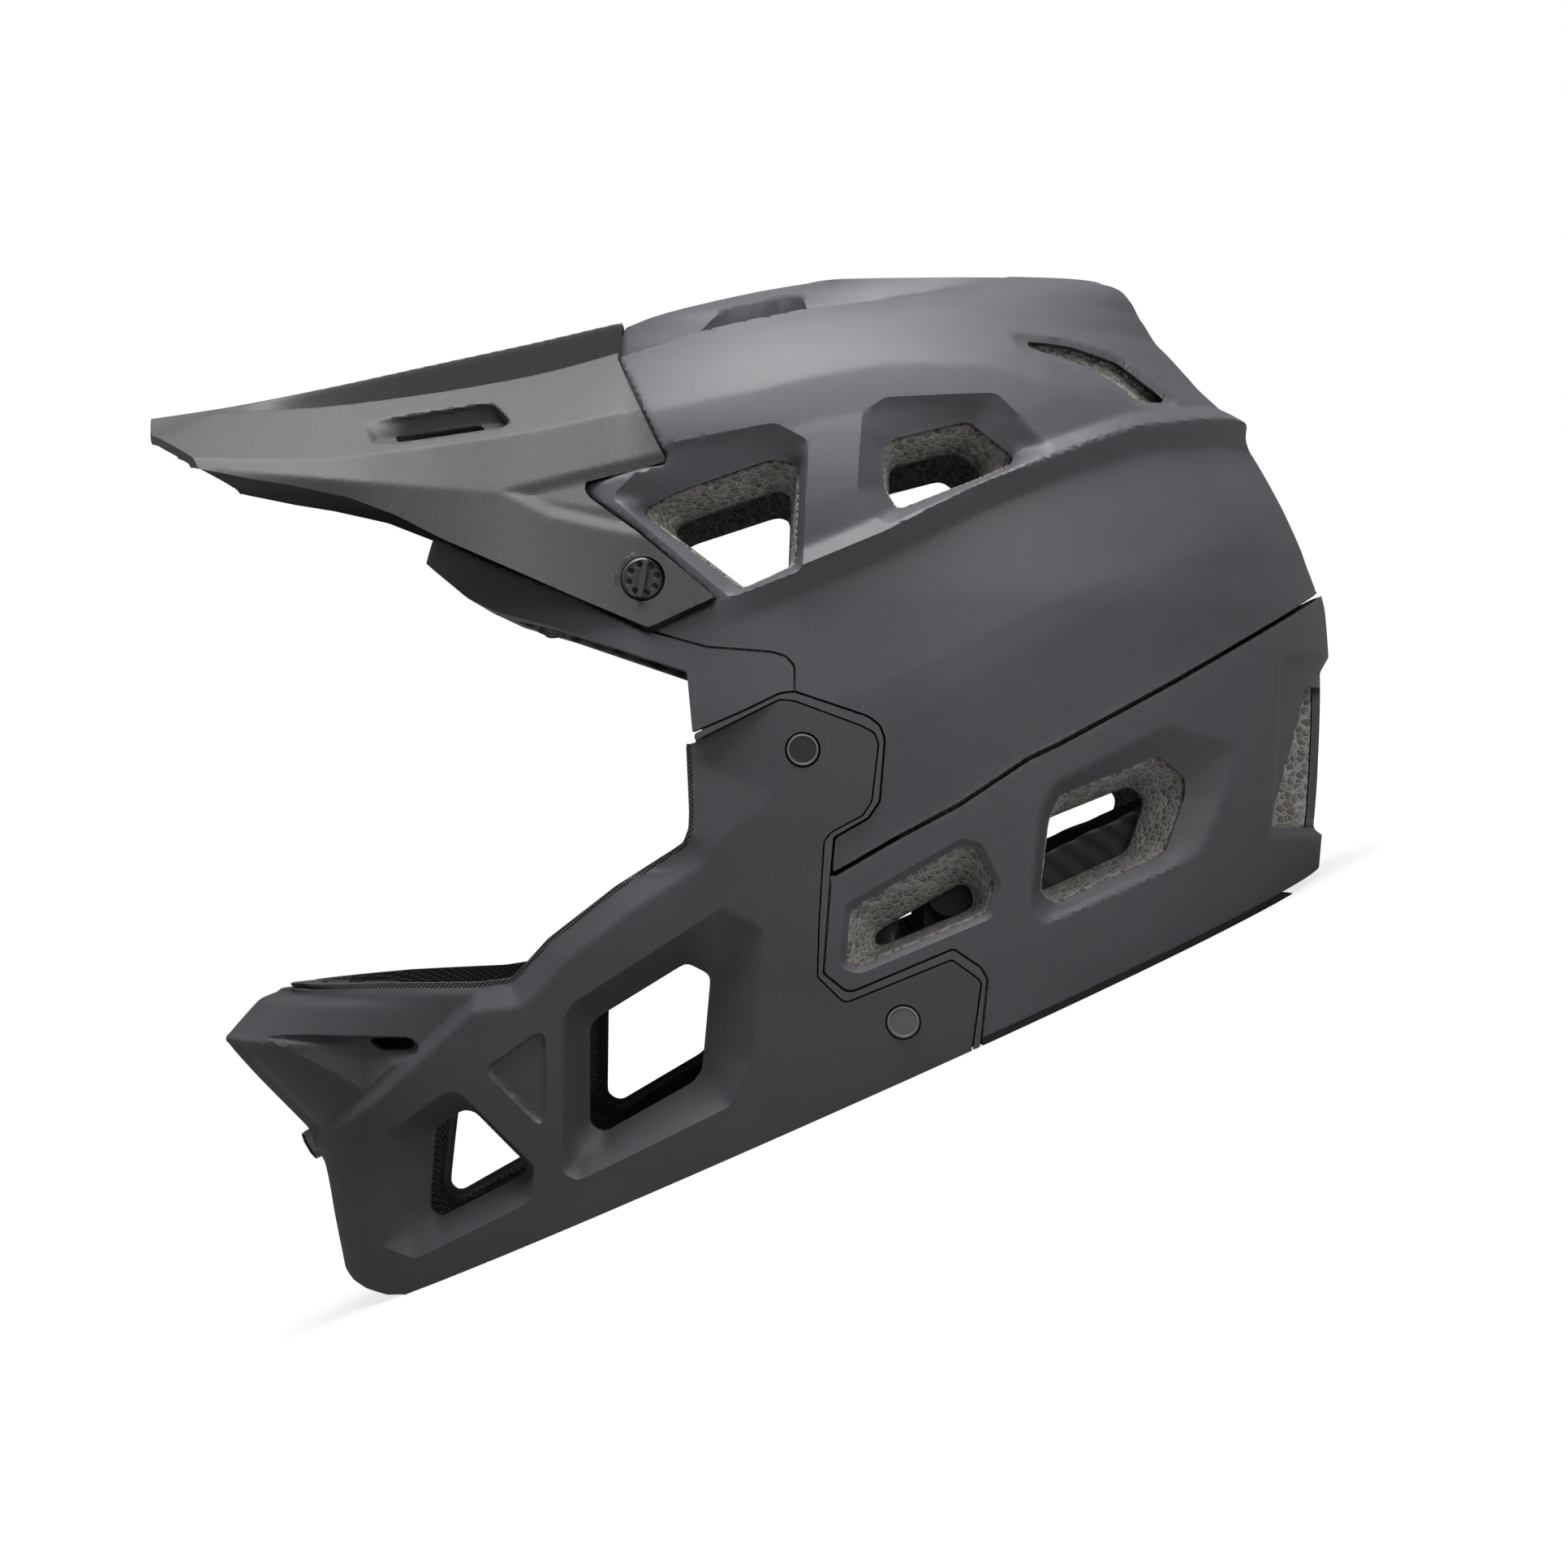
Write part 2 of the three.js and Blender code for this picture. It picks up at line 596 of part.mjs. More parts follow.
// The concave band under the belt: a wedge between the belt line and the line below it
function beltCut() {
  const rings = [];
  beltShares.forEach((share, i) => {
    const [upper, lower] = [share, beltLowerShares[i]];
    const [ux, uz] = [upper[0] * sideLength, upper[1] * sideHeight];
    const [lx, lz] = [lower[0] * sideLength, lower[1] * sideHeight];
    const [uw, lw] = [halfWidthAt(ux, uz), halfWidthAt(lx, lz)];
    rings.push([
      [ux, -(uw + beltDepth), uz],
      [ux, beltDepth - uw, uz],
      [lx, -(lw + beltDepth / 4), lz],
      [lx, -(lw + 2 * beltDepth), lz],
    ]);
  });
  return solidOf(rightSideOut(ringStack(rings)));
}

function seatRegion() {
  const seat = sized(visorSeatShares).map(([x, z], i) => (i < 9 ? [x, z] : [x, z - tiltRelief]));
  const [top, front] = [farTopShare * sideHeight, farFrontShare * sideLength];
  const lowFront = browSeamShares[browSeamShares.length - 1][1] * sideHeight;
  const forward = sized(browSeamShares).slice(5).map(([x, z]) => [x, z + seamGap]);
  return [[seat[0][0], top], ...seat, ...forward, [front, lowFront], [front, top]];
}

// What is cut out of the skin, deeper by a wall for the skin's own inner face
function reliefs(wall) {
  const seat = prism(grown(seatRegion(), wall)).subtract(form(visorSeatDepth + wall));
  const temple = funnel(sized(templeRecessShares), sized(templeHoleShares), ventBevel, wall);
  const side = funnel(sized(sideRecessShares), sized(sideHoleShares), ventBevel, wall);
  const ear = funnel(sized(earRecessShares), sized(earHoleShares), ventBevel / 2, wall);
  const collarHole = sized(collarHoleShares);
  const collar = funnel(grown(collarHole, ventBevel / 3), collarHole, ventBevel / 3, wall);
  let cuts = seat;
  for (const cut of [temple, side, ear, collar, topTrough(wall)]) {
    cuts = cuts.add(bothSides(cut));
  }
  return cuts;
}

// The long hollow beside the raised spine on the crown's left side
function topTrough(wall) {
  const [front, rear] = [visorSeatShares[0][0] * sideLength, middle];
  const outline = [
    [front - overrun, -topTroughOuter],
    [front, -topTroughOuter],
    [rear - overrun, -topTroughOuter],
    [rear + overrun / 2, -(topTroughInner + topTroughOuter) / 2],
    [rear - overrun / 2, -topTroughInner],
    [front - overrun, -topTroughInner],
  ];
  const walls = column(grown(outline, wall), centre.z, sideHeight);
  return walls.subtract(form(topTroughDepth + wall));
}

// The slot through the bottom of the trough
function topVent(inset) {
  const x = (visorSeatShares[0][0] * sideLength + middle) / 2;
  const y = -(topTroughInner + topTroughOuter) / 2;
  const [a, b] = [topVentLength / 2 - inset, topVentWidth / 2 - inset];
  const outline = [[x - a, y - b], [x + a - b, y - b], [x + a, y], [x + a - b, y + b], [x - a, y + b]];
  return column(outline, centre.z + overrun, sideHeight);
}

// The upright vent beside the rear column, cut along X
function rearVent(inset) {
  const [low, high] = rearVentShares.map((share) => share * sideHeight);
  const topOuter = rearVentOuter - rearVentInner / 2;
  const outline = [[rearVentInner, low], [rearVentOuter, low], [topOuter, high], [rearVentInner, high]];
  const shape = new THREE.Shape(grown(outline, -inset).map(([y, z]) => new THREE.Vector2(-y, z)));
  const geometry = new THREE.ExtrudeGeometry(shape, { depth: rearVentDepth, bevelEnabled: false });
  geometry.rotateX(Math.PI / 2);
  geometry.rotateZ(Math.PI / 2);
  geometry.translate(levelShares[9][2] * sideLength - rearVentDepth / 2, 0, 0);
  return solidOf(geometry);
}

function shellHoles(inset) {
  const cuts = [
    sideHole(sized(templeHoleShares), 2 * foamSideWall, inset),
    sideHole(sized(sideHoleShares), 2 * foamSideWall, inset),
    sideHole(sized(rearSlitShares), overrun, inset),
    sideHole(sized(earHoleShares), 2 * foamSideWall, inset),
    sideHole(sized(collarHoleShares), 2 * foamSideWall, inset),
    topVent(inset),
    rearVent(inset),
  ];
  return cuts.map(bothSides).reduce((all, cut) => all.add(cut));
}

function portPrism(shrink = 0) {
  const port = sized(portShares);
  const front = farFrontShare * sideLength;
  const outline = [...port, [front, port[port.length - 1][1]], [front, port[0][1] + overrun / 3]];
  return prism(grown(outline, -shrink));
}

const farTop = farTopShare * sideHeight;
const farBottom = farBottomShare * sideHeight;
const farFront = farFrontShare * sideLength;
const farRear = farRearShare * sideLength;
const mainSeam = sized(mainSeamShares);
const [dockUpper, dockLower] = [sized(dockUpperShares), sized(dockLowerShares)];
const [browSeam, browLower] = [sized(browSeamShares), sized(browLowerShares)];
const guardSeam = sized(guardSeamShares);
const browFront = browSeam[browSeam.length - 1];

// The outlines in side view that part the skin, the foam, the guard and the dock frame
function regionOutlines() {
  return {
    upper: [...mainSeam, ...dockUpper, ...browSeam, [browFront[0], farTop], [mainSeam[0][0], farTop]],
    lower: [...mainSeam, ...dockLower, [dockLower[7][0], farBottom], [mainSeam[0][0], farBottom]],
    brow: [...[...browSeam].reverse(), dockUpper[6], ...browLower, [browFront[0], browLower[3][1]]],
    guard: [
      ...guardSeam, [guardSeam[18][0], farBottom], [farFront, farBottom], [farFront, guardSeam[0][1]],
    ],
    crown: [
      ...mainSeam, ...dockUpper, ...browLower.slice(0, 3), [browFront[0], browLower[3][1]],
      [browFront[0], farTop], [mainSeam[0][0], farTop],
    ],
    collar: [
      ...mainSeam, ...dockUpper, ...browLower.slice(0, 3), ...sized(foamFrontShares),
      [sized(foamFrontShares)[2][0], farBottom], [mainSeam[0][0], farBottom],
    ],
    dock: [
      browLower[2], browLower[1], browLower[0], dockUpper[6], dockUpper[5], dockUpper[4], dockUpper[3],
      dockUpper[2], dockUpper[1], dockUpper[0], mainSeam[8], ...dockLower,
    ],
  };
}

const regions = regionOutlines();
// The ledge under the guard's arms, which the arms and the dock frame fill
const ledgeEnds = [[dockLower[7][0], farBottom], [farFront, farBottom], [farFront, browLower[2][1]]];
const ledge = [...regions.dock, ...ledgeEnds];
const dockBand = [...regions.dock, ...[...guardSeam].reverse()];
const screwPlace = sized([screwShares])[0];
const buttonPlaces = { upper: sized([upperButtonShares])[0], lower: sized([lowerButtonShares])[0] };

const outerForm = form(0, true);
const plainForm = form(0);
const root = new THREE.Group();

function place(name, solid, look) {
  const mesh = solid.getMesh();
  const geometry = new THREE.BufferGeometry();
  geometry.setAttribute('position', new THREE.BufferAttribute(mesh.vertProperties, 3));
  geometry.setIndex(new THREE.BufferAttribute(mesh.triVerts, 1));
  const piece = new THREE.Mesh(geometry, look);
  piece.name = name;
  root.add(piece);
  return piece;
}

// Keeps the largest body of a cut piece, without the slivers a cut can leave
function largest(solid) {
  const bodies = solid.decompose();
  return bodies.reduce((best, body) => (body.volume() > best.volume() ? body : best));
}

function leftHalf(solid) {
  const outline = [[farFront, farTop], [farRear, farTop], [farRear, farBottom], [farFront, farBottom]];
  return solid.intersect(prism(outline, -shellWidth, 0));
}

function screwCylinder(diameter, from, to) {
  const [x, z] = screwPlace;
  const width = halfWidthAt(x, z);
  return bothSides(crossCylinder(diameter, x, z, from - width, to - width));
}

function buildShells() {
  const skinOuter = plainForm.subtract(reliefs(0)).subtract(bothSides(beltCut()));
  const skinInner = form(shellWall).subtract(reliefs(shellWall));
  const skin = skinOuter
    .subtract(skinInner)
    .subtract(shellHoles(0))
    .subtract(portPrism())
    .subtract(belowRim(trimHeight + seatGap))
    .subtract(screwCylinder(screwPadDiameter + 2 * screwClearance, -overrun, overrun));
  const look = material(colours.shell, 0.62);
  place('upper_shell', largest(skin.intersect(prism(grown(regions.upper, -seamGap / 2)))), look);
  place('lower_shell', largest(skin.intersect(prism(grown(regions.lower, -seamGap / 2)))), look);
  place('brow_frame', largest(skin.intersect(prism(grown(regions.brow, -seamGap / 2)))), look);
}

function buildFoam() {
  const wall = shellWall + seatGap;
  const cavity = innerForm(0);
  const insertEnd = insertStart() + insertLength + seatGap;
  const insertWell = screwCylinder(insertDiameter + 2 * seatGap, -overrun, insertEnd);
  const foam = form(wall)
    .subtract(reliefs(wall + reliefClearance))
    .subtract(cavity)
    .subtract(shellHoles(foamVentInset))
    .subtract(portPrism())
    .subtract(belowRim(trimHeight + seatGap))
    .subtract(insertWell);
  const look = material(colours.foam, 0.9);
  place('foam_crown', largest(foam.intersect(prism(grown(regions.crown, -seamGap / 2)))), look);
  const underArms = prism(ledge).subtract(form(armDepth + slideClearance));
  let collar = foam.intersect(prism(grown(regions.collar, -seamGap / 2))).subtract(underArms);
  for (const [x, z] of Object.values(buttonPlaces)) {
    const width = halfWidthAt(x, z);
    const end = armDepth + socketDrop + socketLength + seatGap - width;
    const well = crossCylinder(socketDiameter + 2 * seatGap, x, z, -width, end);
    collar = collar.subtract(bothSides(well));
  }
  const anchorWell = anchorSolid(anchorDiameter + 2 * seatGap, -seatGap);
  place('foam_collar', largest(collar.subtract(bothSides(anchorWell))), look);
}

function buildRimTrim() {
  const region = prism(grown(regions.lower, -seamGap / 2));
  const band = plainForm
    .subtract(form(trimWidth))
    .intersect(region)
    .intersect(belowRim(trimHeight))
    .subtract(belowRim(0));
  place('rim_trim', largest(band), material(colours.seal, 0.7));
}

function buildDockFrames() {
  const band = plainForm
    .subtract(form(dockDepth))
    .intersect(prism(grown(dockBand, -seatGap)))
    .subtract(portPrism())
    .subtract(belowRim(0));
  const left = largest(leftHalf(band));
  place('dock_frame_left', left, material(colours.shell, 0.55));
  place('dock_frame_right', mirrored(left), material(colours.shell, 0.55));
}

function noseRegion() {
  const ridge = sized(ridgeShares);
  return [...ridge, [ridge[3][0], farTop], [farFront, farTop]];
}

function guardVents(inset) {
  const cuts = [
    prism(grown(sized(frontVentHoleShares), -inset)),
    prism(grown(sized(jawVentHoleShares), -inset)),
    sideHole(sized(scoopHoleShares), overrun, inset),
  ];
  return cuts.map(bothSides).reduce((all, cut) => all.add(cut));
}

function guardReliefs(wall) {
  const front = funnel(sized(frontVentRecessShares), sized(frontVentHoleShares), guardVentBevel, wall);
  const rear = funnel(sized(jawVentRecessShares), sized(jawVentHoleShares), guardVentBevel, wall);
  const nose = prism(grown(noseRegion(), wall)).subtract(form(noseInset + wall, true));
  return bothSides(front).add(bothSides(rear)).add(nose);
}

function armZone() {
  const front = sized(armFrontShares);
  return [...front, [farRear, farBottom], [farRear, front[0][1]]];
}

function buildGuard() {
  const arm = prism(armZone());
  const inner = form(guardWall, true).subtract(guardReliefs(guardWall)).subtract(arm);
  const armInner = form(armDepth).intersect(prism(grown(armZone(), seamGap)));
  const emboss = prism(sized(triangleShares)).subtract(form(embossDepth, true));
  let guard = outerForm
    .subtract(guardReliefs(0))
    .subtract(emboss)
    .subtract(inner)
    .subtract(armInner)
    .subtract(guardVents(0))
    .subtract(portPrism())
    .intersect(prism(grown(regions.guard, -seatGap / 2)))
    .subtract(belowRim(0));
  for (const [x, z] of Object.values(buttonPlaces)) {
    const width = halfWidthAt(x, z);
    const capBore = buttonDiameter + 2 * buttonClearance;
    const stemBore = buttonStemDiameter + 2 * buttonClearance;
    const pocket = crossCylinder(capBore, x, z, -width - overrun, buttonPocketDepth - width);
    const bore = crossCylinder(stemBore, x, z, -width, 2 * armDepth - width);
    guard = guard.subtract(bothSides(pocket)).subtract(bothSides(bore));
  }
  place('chin_guard', largest(guard.subtract(capSolid(seatGap))), material(colours.guard, 0.62));

  const wall = guardWall + seatGap;
  const liner = form(wall, true)
    .subtract(guardReliefs(wall + reliefClearance))
    .subtract(form(guardWall + guardLinerWall))
    .subtract(guardVents(foamVentInset))
    .subtract(portPrism(lipRise))
    .intersect(prism(grown(regions.guard, -seatGap)))
    .subtract(prism(grown(armZone(), seatGap)))
    .subtract(prism(grown(regions.collar, seamGap)))
    .subtract(belowRim(trimHeight))
    .subtract(capSolid(seatGap));
  place('chin_liner', largest(liner), material(colours.fabric, 0.85));
}

// The small hexagonal cap under the nose, grown by a gap where it is cut from its seat
function capSolid(gap) {
  const tilt = THREE.MathUtils.degToRad(capTiltDegrees);
  const [x, z] = sized([capShares])[0];
  const geometry = new THREE.CylinderGeometry(capWidth / 2 + gap, capWidth / 2 + gap, capHeight + gap, 6);
  geometry.translate(0, capRise - (capHeight + gap) / 2, 0);
  geometry.rotateZ(Math.PI / 2);
  geometry.rotateY(-tilt);
  geometry.translate(x, 0, z);
  return solidOf(geometry);
}

function buildChinTrim() {
  place('chin_cap', capSolid(0), material(colours.button, 0.5));
  const behind = guardWall + guardLinerWall + seatGap;
  const strip = prism(sized(meshShares), -shellWidth, -meshSpacing);
  const net = form(behind).subtract(form(behind + meshThickness)).intersect(strip);
  const left = largest(net);
  place('scoop_mesh_left', left, material(colours.seal, 0.8));
  place('scoop_mesh_right', mirrored(left), material(colours.seal, 0.8));
}

function visorGrid(wall) {
  return visorStationShares.map((row) => {
    const [x, spine, spineHalf, crest, crestHalf, crease, creaseHalf, mid, midHalf, edge, edgeHalf] = row;
    const half = [
      [0, spine * sideHeight],
      [spineHalfWidth, spine * sideHeight - spineHalf],
      [crestHalf * halfWidthMax, crest * sideHeight],
      [creaseHalf * halfWidthMax, crease * sideHeight],
      [midHalf * halfWidthMax, mid * sideHeight],
      [edgeHalf * halfWidthMax, edge * sideHeight],
    ];
    const full = [...half.slice(1).reverse().map(([y, z]) => [-y, z]), ...half];
    return full.map(([y, z], i) => {
      const before = full[Math.max(i - 1, 0)];
      const after = full[Math.min(i + 1, full.length - 1)];
      const run = new THREE.Vector2(after[0] - before[0], after[1] - before[1]).normalize();
      return [x * sideLength, y + run.y * wall, z - run.x * wall];
    });
  });
}

// A closed sheet between an outer and an inner grid of points
function sheet(outer, inner) {
  const rings = outer.map((row, j) => [...row, ...[...inner[j]].reverse()]);
  const count = outer[0].length;
  const cap = [];
  for (let i = 0; i + 1 < count; i += 1) {
    const [a, b, c, d] = [i, i + 1, 2 * count - 2 - i, 2 * count - 1 - i];
    cap.push([a, b, c], [a, c, d]);
  }
  return solidOf(rightSideOut(ringStack(rings, cap)));
}

// The visor's outline in side view, up to its seat in the shell
function visorRegion() {
  const seat = sized(visorSeatShares);
  const lower = sized(visorLowerShares);
  const outline = [...lower, ...seat.slice(0, 10).reverse()];
  const closing = [[seat[0][0], farTop], [farFront, farTop], [farFront, lower[0][1]]];
  return grown([...outline, ...closing], -seatGap / 2);
}

function visorPlan() {
  const tip = visorStationShares[0][0] * sideLength;
  const left = visorPlanShares.map(([x, y]) => [tip + x * sideLength, y * shellWidth]);
  const right = left.slice(1).reverse().map(([x, y]) => [x, -y]);
  return [...left, ...right];
}

// Shallow recesses in the visor's outer face, and the slot through the floor of one
function visorCuts() {
  const skin = sheet(visorGrid(-overrun / 10), visorGrid(visorReliefDepth));
  const recess = prism(sized(visorSlotRecessShares), -shellWidth, -spineHalfWidth).intersect(skin);
  const arrow = prism(sized(arrowShares), -shellWidth, -spineHalfWidth).intersect(skin);
  const slot = prism(sized(visorSlotShares), -shellWidth, -spineHalfWidth);
  return bothSides(recess.add(arrow).add(slot));
}

function buildVisor() {
  const [x, z] = screwPlace;
  const width = halfWidthAt(x, z);
  const pad = bothSides(crossCylinder(screwPadDiameter, x, z, seatGap - width, screwPadThickness - width));
  const headBore = screwHeadDiameter + 2 * screwClearance;
  const shankBore = screwShankDiameter + 2 * screwClearance;
  const well = bothSides(crossCylinder(headBore, x, z, -width - overrun, screwSeatRecess - width));
  const bore = bothSides(crossCylinder(shankBore, x, z, -width - overrun, overrun - width));
  const visor = sheet(visorGrid(0), visorGrid(visorWall))
    .intersect(prism(visorRegion()))
    .intersect(column(visorPlan(), -sideHeight, sideHeight))
    .subtract(visorCuts())
    .add(pad)
    .subtract(well)
    .subtract(bore);
  place('visor', largest(visor), material(colours.visor, 0.7));
}

// How far inside the shell's surface the threaded insert begins
function insertStart() {
  return screwPadThickness + washerThickness + 2 * seatGap;
}

function placePair(name, left, look) {
  place(`${name}_left`, left, look);
  place(`${name}_right`, mirrored(left), look);
}

function buildScrews() {
  const [x, z] = screwPlace;
  const width = halfWidthAt(x, z);
  const base = screwSeatRecess - seatGap - width;
  const head = crossCylinder(screwHeadDiameter, x, z, base - screwHeadHeight, base);
  const shankEnd = base + screwShankLength;
  const shank = crossCylinder(screwShankDiameter, x, z, base - screwHeadHeight / 2, shankEnd, 12);
  const fin = new THREE.BoxGeometry(screwFinWidth, screwFinHeight + screwHeadHeight / 2, screwFinLength);
  fin.rotateY(THREE.MathUtils.degToRad(screwFinTiltDegrees));
  fin.translate(x, base - screwHeadHeight - screwFinHeight / 2 + screwHeadHeight / 4, z);
  placePair('visor_screw', head.add(shank).add(solidOf(fin)), material(colours.button, 0.45));

  const ringBore = screwShankDiameter + 2 * screwClearance;
  const washerStart = screwPadThickness + seatGap - width;
  const washer = crossCylinder(screwHeadDiameter, x, z, washerStart, washerStart + washerThickness)
    .subtract(crossCylinder(ringBore, x, z, washerStart - seatGap, washerStart + 2 * washerThickness, 12));
  placePair('visor_washer', washer, material(colours.seal, 0.9));

  const start = insertStart() - width;
  const insert = crossCylinder(insertDiameter, x, z, start, start + insertLength)
    .subtract(crossCylinder(ringBore, x, z, start - seatGap, start + 2 * insertLength, 12));
  placePair('visor_insert', insert, material(colours.metal, 0.4, 0.9));
}

// A coil spring wound round the left side's cross axis
function spring(x, z, from, to, radius) {
  const steps = springTurns * 8;
  const rings = [];
  for (let i = 0; i <= steps; i += 1) {
    const turn = (2 * Math.PI * i) / 8;
    const along = from + springWire / 2 + ((to - from - springWire) * i) / steps;
    const ring = [];
    for (let k = 0; k < 5; k += 1) {
      const spin = (2 * Math.PI * k) / 5;
      const out = radius + (springWire / 2) * Math.cos(spin);
      const y = along + (springWire / 2) * Math.sin(spin);
      ring.push([x + out * Math.cos(turn), y, z + out * Math.sin(turn)]);
    }
    rings.push(ring);
  }
  return solidOf(rightSideOut(ringStack(rings)));
}

function buildButtons() {
  for (const [level, [x, z]] of Object.entries(buttonPlaces)) {
    const width = halfWidthAt(x, z);
    const capEnd = buttonCapHeight - buttonProud - width;
    const stemEnd = armDepth - seatGap - width;
    const cap = crossCylinder(buttonDiameter, x, z, -width - buttonProud, capEnd, 20);
    const stem = crossCylinder(buttonStemDiameter, x, z, capEnd - buttonCapHeight / 2, stemEnd, 12);
    placePair(`release_button_${level}`, cap.add(stem), material(colours.button, 0.4));
    const pocketEnd = buttonPocketDepth - seatGap - width;
    const coil = spring(x, z, capEnd + seatGap, pocketEnd, buttonDiameter / 2 - springWire);
    placePair(`button_spring_${level}`, coil, material(colours.metal, 0.35, 1));
    const mouth = armDepth + socketDrop - width;
    const boreEnd = mouth + socketLength / 2 + buttonTravel / 2;
    const bore = crossCylinder(buttonStemDiameter + 2 * buttonClearance, x, z, mouth - seatGap, boreEnd, 12);
    const socket = crossCylinder(socketDiameter, x, z, mouth, mouth + socketLength).subtract(bore);
    placePair(`latch_socket_${level}`, socket, material(colours.metal, 0.4, 0.9));
  }
}

// A lining pad between two depths inside the outer form, within a side-view outline
function lining(outline, gap, thickness) {
  return innerForm(gap)
    .subtract(innerForm(gap + thickness))
    .intersect(prism(outline))
    .subtract(belowRim(trimHeight));
}

function cheekPad() {
  const outline = sized(cheekShares);
  const pad = lining(outline, padGap, cheekPadThickness);
  const xs = outline.map(([x]) => x);
  const [low, high] = [Math.min(...xs), Math.max(...xs)];
  const inside = innerForm(padGap + cheekPadThickness - channelDepth);
  let cut = pad;
  for (let i = 1; i <= channelCount; i += 1) {
    const x = low + ((high - low) * i) / (channelCount + 1);
    const strip = [[x, farTop], [x + channelWidth, farTop], [x + channelWidth, farBottom], [x, farBottom]];
    cut = cut.subtract(prism(strip).intersect(inside));
  }
  return largest(leftHalf(cut));
}

function buildPads() {
  const look = material(colours.fabric, 0.95);
  placePair('cheek_pad', cheekPad(), look);
  placePair('side_pad', largest(leftHalf(lining(sized(sidePadShares), padGap, padThickness))), look);
  place('brow_pad', largest(lining(sized(browPadShares), padGap, padThickness)), look);
  place('neck_pad', largest(lining(sized(neckShares), padGap, padThickness)), look);
  const crown = lining(sized(crownPadShares), padGap, padThickness);
  const width = halfWidthMax / 3;
  const strip = [[farFront, -width], [farRear, -width], [farRear, width], [farFront, width]];
  place('crown_pad', largest(crown.intersect(column(strip, 0, farTop))), look);
}

function strapPoints() {
  const roomHalf = halfWidthMax - foamSideWall;
  return strapLineShares.map(([y, z]) => new THREE.Vector2(-y * roomHalf, z * sideHeight));
}

function anchorSolid(diameter, lift) {
  const x = strapPlaceShare * sideLength;
  const start = strapPoints()[0];
  const inner = start.x - strapThickness / 2 - seatGap;
  return crossCylinder(diameter, x, start.y, inner - anchorThickness + lift, inner - lift, 16);
}

function buildStraps() {
  const x = strapPlaceShare * sideLength;
  const points = strapPoints();
  const rings = points.map((point, i) => {
    const before = points[Math.max(i - 1, 0)];
    const after = points[Math.min(i + 1, points.length - 1)];
    const run = after.clone().sub(before).normalize();
    const [ny, nz] = [-run.y * (strapThickness / 2), run.x * (strapThickness / 2)];
    return [
      [x - strapWidth / 2, point.x - ny, point.y - nz],
      [x + strapWidth / 2, point.x - ny, point.y - nz],
      [x + strapWidth / 2, point.x + ny, point.y + nz],
      [x - strapWidth / 2, point.x + ny, point.y + nz],
    ];
  });
  placePair('strap', solidOf(rightSideOut(ringStack(rings))), material(colours.fabric, 0.9));
  placePair('strap_anchor', anchorSolid(anchorDiameter, 0), material(colours.metal, 0.4, 0.9));
}

function block(width, length, height, x, y, z) {
  const geometry = new THREE.BoxGeometry(width, length, height);
  geometry.translate(x, y, z);
  return solidOf(geometry);
}

function buildBuckle() {
  const x = strapPlaceShare * sideLength;
  const last = strapPoints().at(-1);
  const z = last.y;
  const start = last.x + seatGap;
  const end = start + buckleLength;
  const tongueStart = end + seatGap;
  const tongueEnd = -start;
  const [hollowWidth, hollowHeight] = [buckleWidth, buckleThickness].map((size) => size - 2 * buckleWall);
  const centreY = start + buckleLength / 2;
  const hollow = block(hollowWidth, buckleLength, hollowHeight, x, centreY + 2 * buckleWall, z);
  const housing = block(buckleWidth, buckleLength, buckleThickness, x, centreY, z).subtract(hollow);
  place('buckle_housing', housing, material(colours.seal, 0.5));
  const tongueLength = tongueEnd - tongueStart;
  let tongue = block(buckleWidth, tongueLength, buckleThickness, x, tongueStart + tongueLength / 2, z);
  for (const side of [-1, 1]) {
    const offset = side * (buckleWidth / 2 - buckleWall - prongWidth / 2 - 2 * seatGap);
    const height = buckleThickness - 2 * buckleWall - 2 * seatGap;
    const prongY = tongueStart - (prongReach - prongRoot) / 2;
    tongue = tongue.add(block(prongWidth, prongReach + prongRoot, height, x + offset, prongY, z));
  }
  place('buckle_tongue', tongue, material(colours.seal, 0.5));
}

buildShells();
buildFoam();
buildRimTrim();
buildDockFrames();
buildGuard();
buildChinTrim();
buildVisor();
buildScrews();
buildButtons();
buildPads();
buildStraps();
buildBuckle();

root.rotation.y = rake;
root.updateMatrixWorld(true);
const helmet = new THREE.Group();
helmet.add(root);
const bounds = new THREE.Box3().setFromObject(helmet, true);
helmet.position.set(-(bounds.min.x + bounds.max.x) / 2, 0, -bounds.min.z);

export default helmet;
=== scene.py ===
"""Dressed model of a downhill bike full face helmet.

Hard pieces are written as distance fields in the frame of the worn helmet (mm, -X forward, +Z up,
drawn for y >= 0 and mirrored), meshed, and then raked into the CAD frame, in metres."""
import math

import bpy
import numpy as np
from numpy import clip, interp, maximum, minimum
from mathutils import Matrix, Vector


